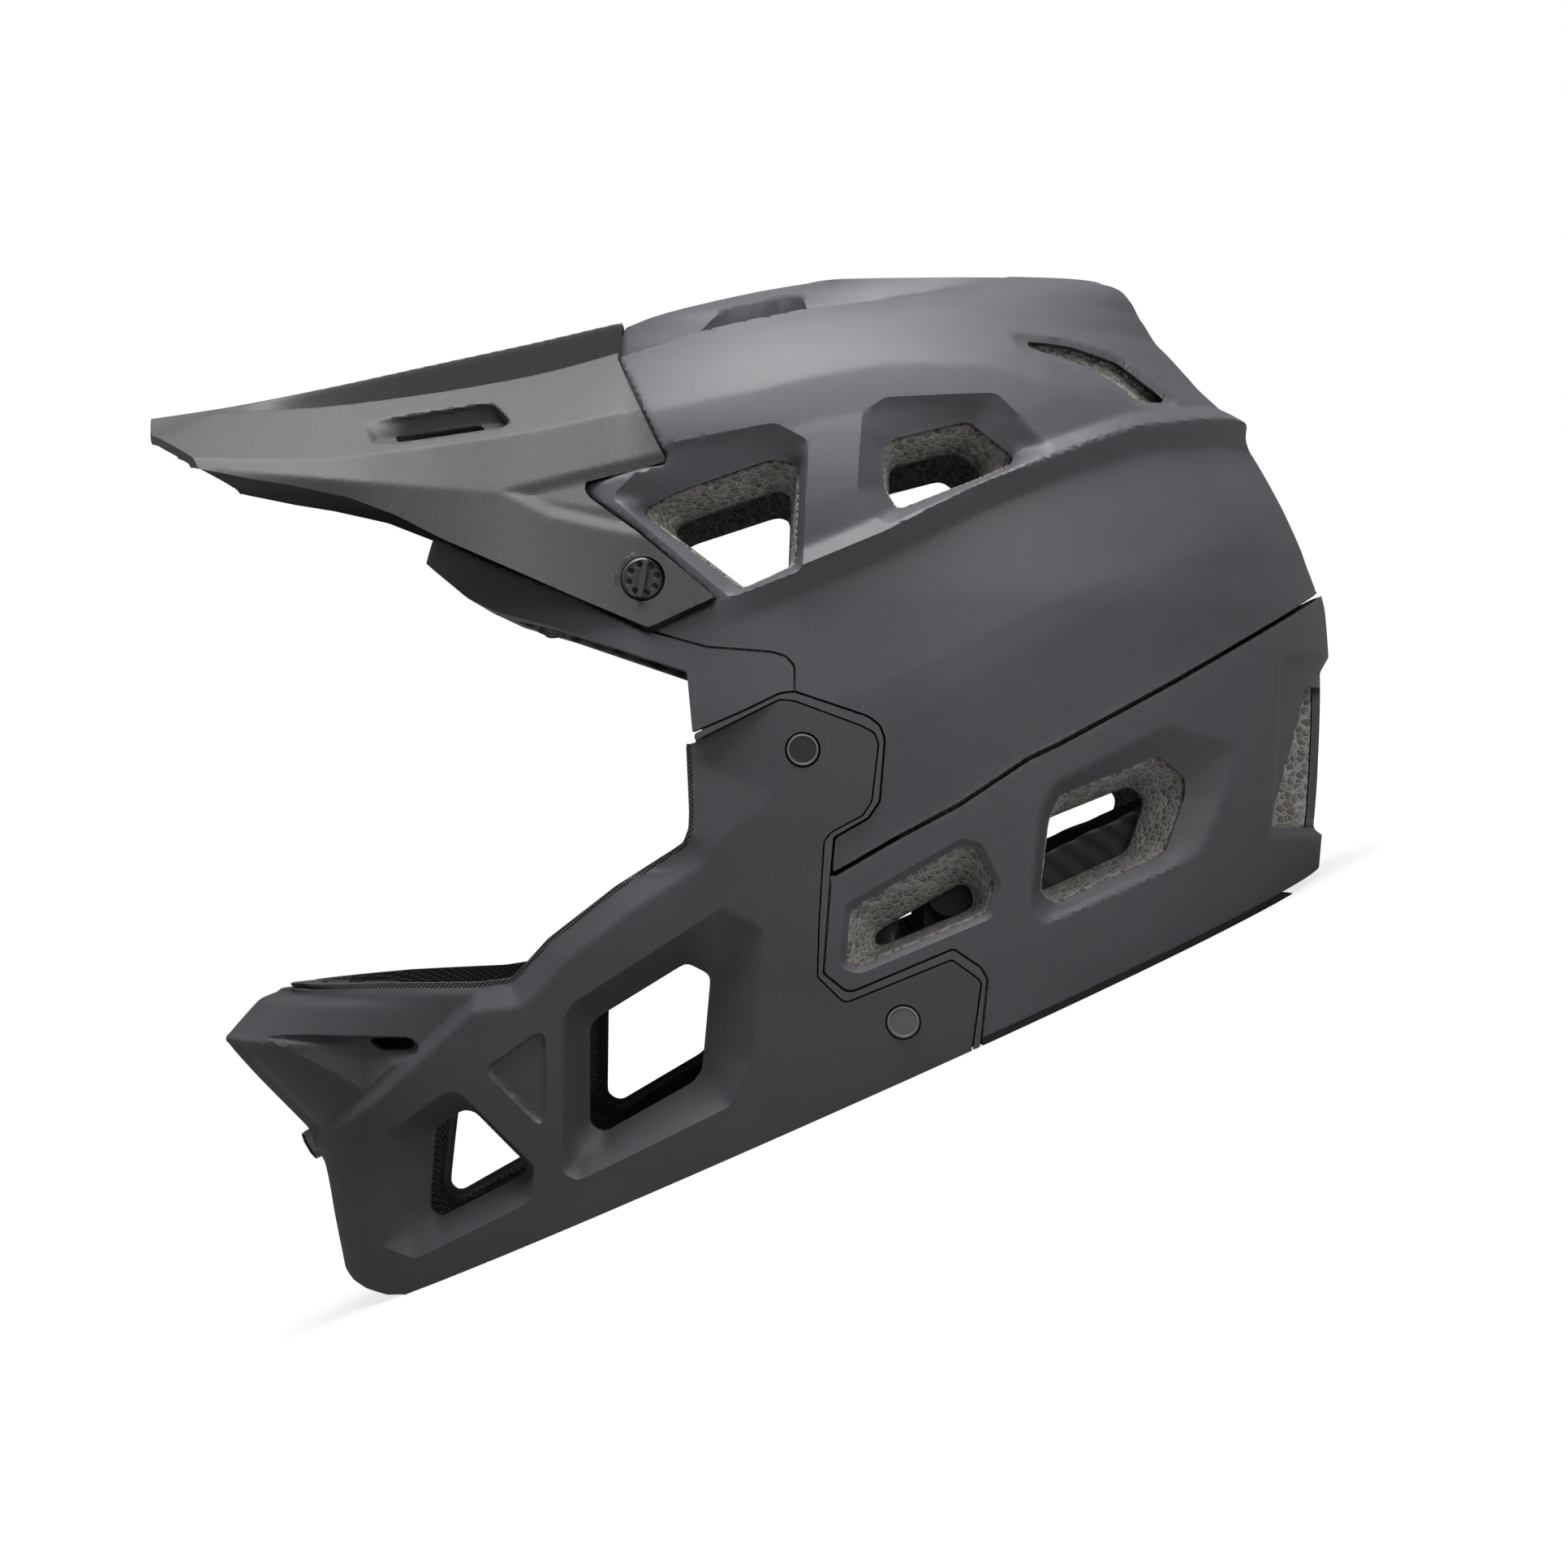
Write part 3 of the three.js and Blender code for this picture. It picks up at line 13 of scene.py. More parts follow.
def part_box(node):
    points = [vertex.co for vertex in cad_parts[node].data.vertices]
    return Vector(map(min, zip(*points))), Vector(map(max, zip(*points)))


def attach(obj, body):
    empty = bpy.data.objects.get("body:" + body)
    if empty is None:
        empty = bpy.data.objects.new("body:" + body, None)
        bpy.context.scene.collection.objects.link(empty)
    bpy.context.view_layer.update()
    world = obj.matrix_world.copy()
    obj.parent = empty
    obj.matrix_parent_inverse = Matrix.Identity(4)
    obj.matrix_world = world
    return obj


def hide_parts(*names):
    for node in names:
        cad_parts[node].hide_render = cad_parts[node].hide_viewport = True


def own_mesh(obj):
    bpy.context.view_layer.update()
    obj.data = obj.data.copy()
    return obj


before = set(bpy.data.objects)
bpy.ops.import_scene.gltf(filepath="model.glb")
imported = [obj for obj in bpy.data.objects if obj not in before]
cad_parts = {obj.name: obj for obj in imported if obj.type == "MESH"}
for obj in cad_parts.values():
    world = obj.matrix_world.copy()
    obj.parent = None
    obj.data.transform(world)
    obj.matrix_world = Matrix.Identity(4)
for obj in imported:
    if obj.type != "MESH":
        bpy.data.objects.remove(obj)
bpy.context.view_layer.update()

# ---- measures (mm)
RAKE = math.radians(24.3)
COS, SIN = math.cos(RAKE), math.sin(RAKE)
SHIFT = (7.866, 98.0)
POWER = 2.15
SHELL_WALL, GUARD_WALL, SEAM, GAP = 2.6, 3.0, 0.38, 0.38
ARM_DEPTH = 10.0
SCREW = (-43.2, 62.8)
WIDTH_AT_SCREW = 99.7
BUTTONS = {"upper": (5.7, 10.4), "lower": (36.4, -72.7)}
SIDES = (("left", -1), ("right", 1))
FAR = 260.0  # beyond the helmet on every side
MOST_TRIANGLES = 190000
SHARP = 30  # degrees
TOP = 164.25  # where the form is cut off level
SEAT_DEPTH = 4.4  # step under the visor
HOLE_REACH = 62  # depth of the side vents
STRAP_ANCHOR = (40.8, 45.8)  # in the CAD frame
CAP_AT, CAP_LEAN = (-154.0, -117.6), 30
CAMERA_AWAY = 1.6  # metres
BORE_WIDTH = {"upper": 111.4, "lower": 104.2}
SPREAD = 2.6  # how far an inner wall keeps clear of the steps outside it


def numbers(text):
    return [float(word) for word in text.split()]


def pairs(text):
    """Points from a plain row of numbers."""
    values = numbers(text)
    return list(zip(values[::2], values[1::2]))


# Levels of the outer form: height, front, rear, half-width
LEVELS = np.reshape(numbers("""
    -183.9 -138.1 149.5 88.5 -161.7 -142 153.4 92 -141.5 -146 156.9 95 -123 -149.5 160.1 97.5
    -111.8 -154 162.2 99 -82.7 -163.2 166.7 103 -66.8 -164.6 169.1 105 -48.8 -162.7 171.7 107.5
    -22.3 -156.6 174.4 110 4.2 -146 176.5 112 30.7 -131.4 177.3 113 54.6 -120.3 176 113
    73.1 -116.1 169.9 111.5 91.7 -109.7 161.9 108 107.6 -101 153.4 102.5 118.2 -92.2 146.3 97
    128.8 -81.1 134.1 90 140.7 -64.7 123 79 150 -46.6 116.6 68 157.4 -18.8 112.4 54
    161.1 -0.3 108.1 41 163 11.7 100.4 27 164 32.9 85.9 12"""), (-1, 4))
BEAK = np.reshape(numbers("-123 0 -111.8 0.1 -82.7 1 -69.5 0.35 -66.8 0.05 -48.8 0"), (-1, 2))
BEAK_REACH = 20.0

# Outlines in side view, read off the photograph: x, z, x, z and on
MAIN_SEAM = pairs("""
    210.4 85.1 175.7 63.1 148.7 47.9 119.8 31.7 83.6 12.4 74.6 8.2 52.8 -6.2 34.8 -15.8 14.3
    -27.7""")
DOCK_UPPER = pairs("15.3 -16.3 25.7 -10.4 29.1 -5.2 30.6 13.8 29.1 17.8 25.6 20.5 3.2 28.1")
DOCK_LOWER = pairs("""
    12.1 -57.7 18.8 -63.1 21.3 -63.1 51.7 -50.2 60.2 -56 62.2 -59.5 60.3 -79.2 59.4 -160.2""")
BROW_SEAM = pairs("""
    3.2 36 0.5 38.9 -3.7 40.2 -23.7 41.8 -41.2 45.6 -66.5 56 -90.2 65.9 -109 75.1 -128.8 86.4
    -159.6 102.3""")
BROW_LOWER = pairs("-1.2 27.6 -12.3 22.2 -27.7 15.6 -46.1 7.7")
GUARD_SEAM = pairs("""
    -27.7 12.6 -1.2 25.6 3.2 25.1 22.9 17.8 27.4 15.5 28.6 12.1 26.6 -5.2 23.9 -9.4 14.3 -14.6
    12.1 -17.3 10.6 -41.5 10.1 -58.9 17.8 -66.4 19.6 -66.6 51.2 -53.7 59.2 -59.5 60.2 -60.7 57.6
    -80.2 55.7 -160.2""")
PORT = pairs("""
    -119 73.9 -99.1 58.1 -88.7 53.3 -71.6 48.6 -44.9 39.7 -29.7 34.6 -27.9 15.6 -28.4 11.4 -27.5
    -8.4 -27.7 -13.9 -29.7 -19.1 -51.1 -32.8 -71.9 -48.9 -80.5 -58.3 -84.4 -61.8 -94.9 -63.3
    -125.7 -64.2 -165.9 -66.8""")
FOAM_FRONT = pairs("-25.7 -10.9 -17.1 -35.6 -15.2 -113.1")
ARM_FRONT = pairs("-22.8 66 -22.8 -23.1 -7.6 -35.6 0 -95.7 3.8 -231")
CHIN_CUT = pairs("-119.5 -161.5 -126 -162.4 -133.5 -161.4 -138.5 -159.6 -142.5 -156.5 -200 -150")
RIDGE = pairs("-146.7 -113.4 -126.2 -98.4 -95 -69.3 -80.8 -57.8")
FRONT_VENT = pairs("""
    -125.2 -110.4 -105.6 -95.8 -100.7 -96.1 -77.2 -118.7 -78.6 -129.5 -116.2 -149.7 -127.5 -146.8""")
FRONT_HOLE = pairs("""
    -109.8 -108.3 -100.5 -102 -96.9 -102.4 -80 -118.8 -80.8 -121.9 -109 -137 -112.1 -134.3""")
JAW_VENT = pairs("""
    -67.9 -72.4 -64.9 -67.4 -19.3 -37.9 -6.2 -44.5 -9.9 -84.9 -16.4 -98.7 -63.7 -122.7 -68.5
    -120.5""")
JAW_HOLE = pairs("""
    -60.1 -75.3 -58.6 -72.8 -30 -55 -22.6 -58.8 -25.3 -88.5 -28.3 -92.3 -56 -108.3 -60.3 -105.8""")
TRIANGLE = pairs("-93.3 -88.5 -75.8 -76.1 -73.3 -77.5 -73.8 -104.8 -75.8 -105.9")
SCOOP_HOLE = pairs("-132.2 -79.9 -116.7 -79.2 -114.8 -81.2 -117.6 -83.5 -126.7 -83.8")
SCOOP_FOLD = pairs("""
    -168.5 -80.3 -148 -79.2 -117.3 -78.9 -113.9 -81.2 -114.4 -85 -122.9 -88.4 -132.1 -96.6 -146
    -89.5 -163 -82.4""")
SCOOP_LIP = pairs("-180 -80.3 -148 -79.2 -110 -78.6 -110 -60 -180 -60")
SCOOP_FOOT = pairs("""
    -180 -75.5 -163 -82.4 -146 -89.5 -132.1 -96.6 -122.9 -88.4 -110 -83.3 -110 -130 -180 -130""")
TEMPLE_VENT = pairs("-53.5 88.5 -35.9 104.9 -2.7 110.9 7.4 105.2 5.4 65.1 -16.6 56.8")
TEMPLE_HOLE = pairs("-44.6 84 -33.3 89.8 -4 99.7 4.9 98.3 3.7 66.9 -12.6 59.3")
SIDE_VENT = pairs("22.2 89.9 23.9 113.6 30.9 118.8 65.4 120.4 83.4 102.1 71.5 97.5 30.3 78.2")
SIDE_HOLE = pairs("30.6 90.4 30.5 103.3 34 106.1 56.7 111.7 71 100.3 68.7 97 34.5 83.4")
REAR_SLIT = pairs("""
    73.4 138.4 89.9 136.8 104.7 132.4 121.7 119.6 110.4 119.6 103.4 125.5 92.9 130.9 76.5 135.6""")
EAR_VENT = pairs("""
    75.3 -39.4 77.7 -9.6 82.7 0.2 118.3 18.2 140.7 12.1 137 -3.5 128.6 -21.6 79.8 -42.7""")
EAR_HOLE = pairs("""
    78.3 -33.2 80.7 -11.4 84.2 -3.5 115.5 8.7 124.1 2 124.2 -3.5 117.8 -21.5 82.8 -37""")
COLLAR_HOLE = pairs("18.8 -54.6 20.3 -38 54.8 -18.3 59.1 -19.8 64.3 -30.7 62.1 -39.3 22.8 -55.9")
BELT = pairs("-18.2 56.6 -9.6 60.2 30.3 76.7 57.9 90.6 83.1 101.1 109.3 110.9 136.8 115.5 160 117")
CREST = pairs("""
    -60 111 -43.2 115.2 -8.5 121.2 8.5 125.5 30.9 129.5 45.5 130.2 64.4 128.8 86.8 122.7 105.9
    111.5""")
CREST_TOP = pairs("-90 122 -52 134.7 -18.9 143.9 8.2 149.2 39.3 153 61 156.3 80 160")
VISOR_SEAT = pairs("""
    -52.2 133.7 -44 115.7 -38.5 104.2 -36.4 100.8 -36.7 99 -61 93.1 -61.4 90.6 -59.6 88.2 -44.8
    77.4 -20.7 56.9 -41.4 47.6""")
VISOR_LOWER = pairs("""
    -184.5 98.6 -166.9 95.1 -153.7 93 -135.4 89 -120.3 83.2 -106 75.8 -66.5 58.3 -41.4 47.6""")
VISOR_SLOT_VENT = pairs("""
    -133.8 114.3 -96.3 119.9 -91.4 119.9 -85.3 112.7 -87.8 110.9 -121 106.6 -128.7 106.3""")
VISOR_SLOT = pairs("-123.5 109.7 -97.6 113 -95.3 113 -92.7 110.9 -121 107.1")
ARROW = pairs("-87.8 90.3 -62.5 96.8 -36.8 102.6 -10 108.7 -10 66 -44.3 76 -55.8 78.3 -72.5 82.3")
VISOR_PLAN = pairs("-205.6 0 -204 22.1 -196.5 52 -181.1 73.9 -150 100")
PORT_AREA = PORT + [(-FAR, PORT[-1][1]), (-FAR, PORT[0][1] + 10)]
LOWER_SEAM = [(x, z - 0.8) for x, z in MAIN_SEAM]
COLLAR_EDGE = (DOCK_UPPER + BROW_LOWER[:3] + FOAM_FRONT
               + [(FOAM_FRONT[2][0], -FAR), (MAIN_SEAM[0][0], -FAR)])
DOCK_EDGE = BROW_LOWER[2::-1] + DOCK_UPPER[::-1] + [MAIN_SEAM[8]] + DOCK_LOWER
# Visor sections: x, then y, z of spine, spine edge, hollow, crest, crease, bevel, lower edge
VISOR_SECTIONS = np.reshape(numbers("""
    -207.1 0 117.8 17 117.6 24 114.2 33.9 108.9 67.8 106.3 70.1 104.9 72.3 103
    -180.5 0 121.8 17 121.6 23 119.8 38.4 118.1 70.1 101.6 72.3 98.3 74.6 94
    -150.1 0 127.7 17 127.5 17.5 118.8 40.7 119.8 70.1 101.3 74.6 95.7 74.6 87.1
    -115.1 0 135.3 17 135.1 15.5 121 44.1 123.7 74 104.6 80.8 92.4 83.1 76.6
    -80.2 0 142.9 17 142.7 15 126.5 47.5 129.4 80.2 109.2 90.4 89.1 97.7 62.7
    -50.2 0 149.8 17 149.6 15 133.5 53.1 136.9 80.2 115.2 95.5 85.1 102.3 42.9
    -30 0 153.8 17 153.6 15 138 59.9 142.9 88.7 118.1 103.5 85.1 110.3 39.6
    -11.4 0 156.7 17 156.6 15 141 67.8 144.9 94.4 118.1 109.4 85.1 114.6 39.6"""), (-1, 15))


# ---- field helpers
def poly(points, x, z):
    """Signed distance to a closed outline, negative inside."""
    best = np.full(np.broadcast(x, z).shape, 1e9, np.float32)
    odd = np.zeros(best.shape, bool)
    for (ax, az), (bx, bz) in zip(points, points[1:] + points[:1]):
        ex, ez = bx - ax, bz - az
        wx, wz = x - ax, z - az
        t = clip((wx * ex + wz * ez) / (ex * ex + ez * ez + 1e-12), 0, 1)
        best = minimum(best, (wx - ex * t) ** 2 + (wz - ez * t) ** 2)
        if abs(ez) > 1e-9:
            odd ^= ((az > z) != (bz > z)) & (x < ax + wz * ex / ez)
    best = np.sqrt(best)
    return np.where(odd, -best, best).astype(np.float32)


def line(points, x, z):
    """Signed distance to an open line, positive on its left."""
    best = np.full(np.broadcast(x, z).shape, 1e9, np.float32)
    sign = np.ones(best.shape, np.float32)
    last = len(points) - 2
    for i, ((ax, az), (bx, bz)) in enumerate(zip(points, points[1:])):
        ex, ez = bx - ax, bz - az
        wx, wz = x - ax, z - az
        t = (wx * ex + wz * ez) / (ex * ex + ez * ez)
        t = clip(t, -9 if i == 0 else 0, 9 if i == last else 1)
        d = (wx - ex * t) ** 2 + (wz - ez * t) ** 2
        near = d < best
        best = np.where(near, d, best)
        sign = np.where(near, np.sign(ex * wz - ez * wx), sign)
    return (np.sqrt(best) * sign).astype(np.float32)


def soft(a, passes):
    """Rounds the corners of a field over the side view."""
    for _ in range(passes):
        for axis in (0, 1):
            p = np.concatenate([a.take([0], axis), a, a.take([-1], axis)], axis)
            n = a.shape[axis]
            a = 0.25 * p.take(range(n), axis) + 0.5 * p.take(range(1, n + 1), axis) \
                + 0.25 * p.take(range(2, n + 2), axis)
    return a


def spread(a, mm, step):
    """Lets the highest values of a flat field grow outwards."""
    for _ in range(max(1, int(round(mm / step)))):
        p = np.pad(a, 1, "edge")
        a = np.max([p[1:-1, 1:-1], p[:-2, 1:-1], p[2:, 1:-1], p[1:-1, :-2], p[1:-1, 2:]], axis=0)
    return a


def smooth_table(xs, ys, x):
    """Smooth curve through a table that never overshoots its points; straight beyond its ends."""
    xs, ys = np.asarray(xs, float), np.asarray(ys, float)
    h, d = np.diff(xs), np.diff(ys) / np.diff(xs)
    m = np.zeros(len(xs))
    m[0], m[-1] = d[0], d[-1]
    same = d[:-1] * d[1:] > 0
    m[1:-1][same] = 2 * d[:-1][same] * d[1:][same] / (d[:-1] + d[1:])[same]
    i = clip(np.searchsorted(xs, x) - 1, 0, len(xs) - 2)
    inside = clip(x, xs[0], xs[-1])
    t = (inside - xs[i]) / h[i]
    y = ((1 + 2 * t) * (1 - t) ** 2 * ys[i] + t * (1 - t) ** 2 * h[i] * m[i]
         + t * t * (3 - 2 * t) * ys[i + 1] + t * t * (t - 1) * h[i] * m[i + 1])
    return y + (x - inside) * np.where(x < xs[0], m[0], m[-1])


def raw_form(x, y, z, beak=False):
    """Field of the outer form over three separate axes; zero on the surface, negative inside."""
    heights, fronts, rears, halves = LEVELS.T
    centres = maximum(30.0, (fronts + rears) / 2)
    squares = [smooth_table(heights, v * v, z) for v in (centres - fronts, rears - centres, halves)]
    front, rear, half = [maximum(v, 4.0)[None, None, :] for v in squares]
    centre = smooth_table(heights, centres, z)[None, None, :]
    along = x[:, None, None] - centre
    reach = np.sqrt(np.where(along < 0, front, rear))
    side = (np.abs(y)[None, :, None] / np.sqrt(half)) ** POWER
    ahead = np.abs(along)
    r = ((ahead / reach) ** POWER + side) ** (2 / POWER)
    if beak:
        cosine = ((ahead / reach) ** 2 / maximum(r, 1e-6)) ** (POWER / 4)
        prow = interp(z, BEAK[:, 0], BEAK[:, 1])[None, None, :] * BEAK_REACH
        prow = prow * maximum(0, (cosine - 0.7) / 0.3) * (along < 0)
        r = ((maximum(ahead - prow, 0) / reach) ** POWER + side) ** (2 / POWER)
    above = maximum(z - TOP, 0)[None, None, :]
    return ((r - 1) * half + above * 500).astype(np.float32)


def steepness(f, h):
    """The square of a field's slope."""
    return sum(g * g for g in np.gradient(f, h))


class Grid:
    """A box of samples over the right half of the helmet; steps are the quick and the full one, and the
    quick one is not used.
    """

    def __init__(self, steps, xs, ys, zs):
        self.h = step = steps[1]
        self.x = np.arange(xs[0], xs[1], step)
        self.y = (np.arange(int((ys[1] - ys[0]) / step)) + 0.5) * step + ys[0]
        self.z = np.arange(zs[0], zs[1], step)
        self.X, self.Z = self.x[:, None], self.z[None, :]
        self.Y3 = self.y[None, :, None].astype(np.float32)
        self.row_z = -self.X * SIN + self.Z * COS + SHIFT[1]
        self.row_x = self.X * COS + self.Z * SIN + SHIFT[0]

    def form(self, beak=False):
        f = raw_form(self.x, self.y, self.z, beak)
        return clip(f / np.sqrt(steepness(f, self.h) + 1e-3), -90, 60).astype(np.float32)

    def poly(self, points):
        return poly(points, self.X, self.Z)

    def line(self, points):
        return line(points, self.X, self.Z)

    def round(self, a, mm):
        return soft(a, max(1, int(round(2 * (mm / self.h) ** 2))))

    def disc(self, centre, radius):
        return np.hypot(self.X - centre[0], self.Z - centre[1]) - radius

    def tall(self, a):
        return np.asarray(a, np.float32)[:, None, :]

    def wall(self, points, inset=0):
        return self.tall(self.poly(points) + inset)

    def soft_wall(self, points, mm):
        return self.tall(self.round(self.poly(points), mm))

    def rod(self, centre, radius):
        return self.tall(self.disc(centre, radius))


CORNERS = [(i, j, k) for i in (0, 1) for j in (0, 1) for k in (0, 1)]


def corner_values(a, cell):
    """A field's values at the eight corners of cells."""
    at = [[clip(cell[:, n] + k, 0, a.shape[n] - 1) for k in (0, 1)] for n in range(3)]
    return np.stack([a[at[0][i], at[1][j], at[2][k]] for i, j, k in CORNERS]).astype(float)


def meet(at, cell, values, held):
    """Moves points onto the fields that bound the body in their cells, so edges come out sharp."""
    for _ in range(3):
        w = clip(at - cell, 0, 1)
        square, side = np.tile(np.eye(3) * 0.05, (len(at), 1, 1)), np.zeros((len(at), 3))
        for v, on in zip(values, held):
            value, slope = np.zeros(len(at)), np.zeros((len(at), 3))
            for c, corner in zip(CORNERS, v):
                share = [w[:, n] if c[n] else 1 - w[:, n] for n in range(3)]
                value += corner * share[0] * share[1] * share[2]
                for n in range(3):
                    rest = corner * share[(n + 1) % 3] * share[(n + 2) % 3]
                    slope[:, n] += rest if c[n] else -rest
            size = maximum(np.linalg.norm(slope, axis=1), 1e-3)
            n = slope / size[:, None] * on[:, None]
            square += n[:, :, None] * n[:, None, :]
            side -= n * (value / size)[:, None]
        move = np.linalg.solve(square, side[:, :, None])[:, :, 0]
        at = clip(at + clip(move, -0.5, 0.5), cell - 0.02, cell + 1.02)
    return at


def nets(f, low, h, fields=()):
    """Mesh of a field's zero level, with sharp edges where the given fields meet."""
    g = f < 0
    spans = [np.flatnonzero(g.any(axis=a)) for a in ((1, 2), (0, 2), (0, 1))]
    lo, hi = [max(int(v[0]) - 2, 0) for v in spans], [int(v[-1]) + 3 for v in spans]
    f = np.pad(f[lo[0]:hi[0], lo[1]:hi[1], lo[2]:hi[2]], 1, constant_values=h)
    g = f < 0
    shift = np.array(lo) - 1
    low = np.array(low) + shift * h
    n = f.shape
    count = np.zeros([k - 1 for k in n], np.int8)
    for i, j, k in CORNERS:
        count += g[i:n[0] - 1 + i, j:n[1] - 1 + j, k:n[2] - 1 + k]
    active = (count > 0) & (count < 8)
    cell = np.argwhere(active)
    ids = np.zeros(active.shape, np.int32)
    ids[active] = np.arange(len(cell))
    v = np.stack([f[cell[:, 0] + i, cell[:, 1] + j, cell[:, 2] + k] for i, j, k in CORNERS])
    values = [corner_values(a, cell + shift) for a in fields] or [v.astype(float)]
    held = [np.zeros(len(cell), bool) for _ in values]
    total, hits = np.zeros((len(cell), 3)), np.zeros(len(cell))
    for a in range(8):
        for b in range(a + 1, 8):
            step = np.subtract(CORNERS[b], CORNERS[a])
            if np.abs(step).sum() != 1:
                continue
            cut = np.flatnonzero((v[a] < 0) != (v[b] < 0))
            t = v[a][cut] / (v[a][cut] - v[b][cut])
            # The field that ends the body first along this edge holds the cell
            out = v[b][cut] >= 0
            first, holder = np.full(len(cut), 1.5), np.full(len(cut), -1)
            for k, value in enumerate(values):
                p, q = value[a][cut], value[b][cut]
                p, q = np.where(out, p, q), np.where(out, q, p)
                s = np.where((p < 0) & (q >= 0), p / minimum(p - q, -1e-9), 2.0)
                holder, first = np.where(s < first, k, holder), minimum(s, first)
            t = np.where(holder < 0, t, np.where(out, first, 1 - first))
            for k in range(len(values)):
                held[k][cut[holder == k]] = True
            total[cut] += np.array(CORNERS[a]) + t[:, None] * step
            hits[cut] += 1
    at = meet(cell + total / hits[:, None], cell, values, held)
    faces = []
    for axis in range(3):
        u, w = [(1, 2), (2, 0), (0, 1)][axis]
        a, b = np.moveaxis(g, axis, 0)[:-1], np.moveaxis(g, axis, 0)[1:]
        edges = np.argwhere(a != b)
        order = [axis] + [k for k in range(3) if k != axis]
        place = np.empty_like(edges)
        place[:, order] = edges
        inner = np.all([(place[:, k] > 0) & (place[:, k] < n[k] - 1) for k in (u, w)], axis=0)
        place = place[inner]
        outward = g[tuple(place.T)]
        quad = []
        for du, dw in ((1, 1), (0, 1), (0, 0), (1, 0)):
            q = place.copy()
            q[:, u] -= du
            q[:, w] -= dw
            quad.append(ids[tuple(q.T)])
        quad = np.stack(quad, 1)
        quad[~outward] = quad[~outward][:, ::-1]
        faces.append(quad)
    return low + at * h, np.concatenate(faces)


def raked(p):
    p = np.asarray(p, float)
    return np.column_stack([p[:, 0] * COS + p[:, 2] * SIN + SHIFT[0], p[:, 1],
                            -p[:, 0] * SIN + p[:, 2] * COS + SHIFT[1]]) * 0.001


def put(name, data):
    o = bpy.data.objects.new(name, data)
    bpy.context.scene.collection.objects.link(o)
    return o


def shade(me, sharp=0):
    me.polygons.foreach_set("use_smooth", [True] * len(me.polygons))
    if sharp:
        me.set_sharp_from_angle(angle=math.radians(sharp))


def mesh_object(name, points, faces, material, sharp=SHARP):
    me = bpy.data.meshes.new(name)
    me.from_pydata(points.tolist(), [], faces.tolist() if isinstance(faces, np.ndarray) else faces)
    shade(me, sharp)
    me.materials.append(material)
    return put(name, me)


def thin_out(o):
    """Brings a large piece under MOST_TRIANGLES, taking faces where it is flattest."""
    count = sum(len(p.vertices) - 2 for p in o.data.polygons)
    if count <= MOST_TRIANGLES:
        return o
    mod = o.modifiers.new("thin", "DECIMATE")
    mod.ratio = MOST_TRIANGLES / count
    bake(o)
    shade(o.data, SHARP)
    return o


def settle(o, body, slot, *nodes):
    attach(o, body)
    if nodes:
        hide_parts(*nodes)


def inside_all(fields):
    """The body inside every one of the fields."""
    f = fields[0]
    for a in fields[1:]:
        f = maximum(f, a)
    return f


def mirrored(a):
    return a if a.shape[1] == 1 else np.concatenate([a[:, ::-1, :], a], 1)


def centre_piece(name, fields, grid, material, body, slot, *nodes, whole=None):
    """A piece that crosses the middle: its fields are mirrored before they are meshed."""
    fields = [mirrored(a) for a in fields]
    f = inside_all(fields) if whole is None else mirrored(whole)
    p, q = nets(f, (grid.x[0], -grid.y[-1], grid.z[0]), grid.h, fields)
    settle(thin_out(mesh_object(name, raked(p), q, material)), body, slot, *nodes)


def side_pieces(name, fields, grid, material, body, slot, node):
    """A pair of pieces, one on each side."""
    p, q = nets(inside_all(fields), (grid.x[0], grid.y[0], grid.z[0]), grid.h, fields)
    for side, sign in SIDES:
        faces = q if sign > 0 else q[:, ::-1]
        o = mesh_object(name + "_" + side, raked(p * (1, sign, 1)), faces, material)
        settle(o, body.replace("SIDE", side), slot, node.replace("SIDE", side))


def level(f, h):
    """A field divided by its own slope, so that it measures distance near its surface."""
    return (f / np.sqrt(clip(steepness(f, h), 0.6, 9.0))).astype(np.float32)


# ---- materials
def new_material(name):
    m = bpy.data.materials.new(name)
    m.use_nodes = True
    return m, m.node_tree, m.node_tree.nodes["Principled BSDF"]


def give(n, numbered=(), **values):
    """Sets a node's inputs and settings; a socket is linked in. Numbered inputs come first."""
    for key, value in [*numbered, *values.items()]:
        if isinstance(value, bpy.types.NodeSocket):
            n.id_data.links.new(value, n.inputs[key])
        elif isinstance(key, int) or key in n.inputs:
            n.inputs[key].default_value = value
        else:
            setattr(n, key, value)
    return n


def add(tree, kind, numbered=(), **values):
    return give(tree.nodes.new("ShaderNode" + kind), numbered, **values)


def ramp(tree, source, stops):
    r = add(tree, "ValToRGB", Fac=source)
    while len(r.color_ramp.elements) < len(stops):
        r.color_ramp.elements.new(0.5)
    for e, (at, c) in zip(r.color_ramp.elements, stops):
        e.position, e.color = at, (*c, 1)
    return r.outputs["Color"]


def bump(tree, bsdf, height, strength, distance):
    b = add(tree, "Bump", Strength=strength, Distance=distance, Height=height)
    give(bsdf, Normal=b.outputs["Normal"])


def coords(tree):
    return add(tree, "TexCoord").outputs["Object"]


def texture(tree, kind, out="Fac", at=None, **values):
    """A procedural texture laid over the object's own coordinates."""
    return add(tree, "Tex" + kind, Vector=at or coords(tree), **values).outputs[out]


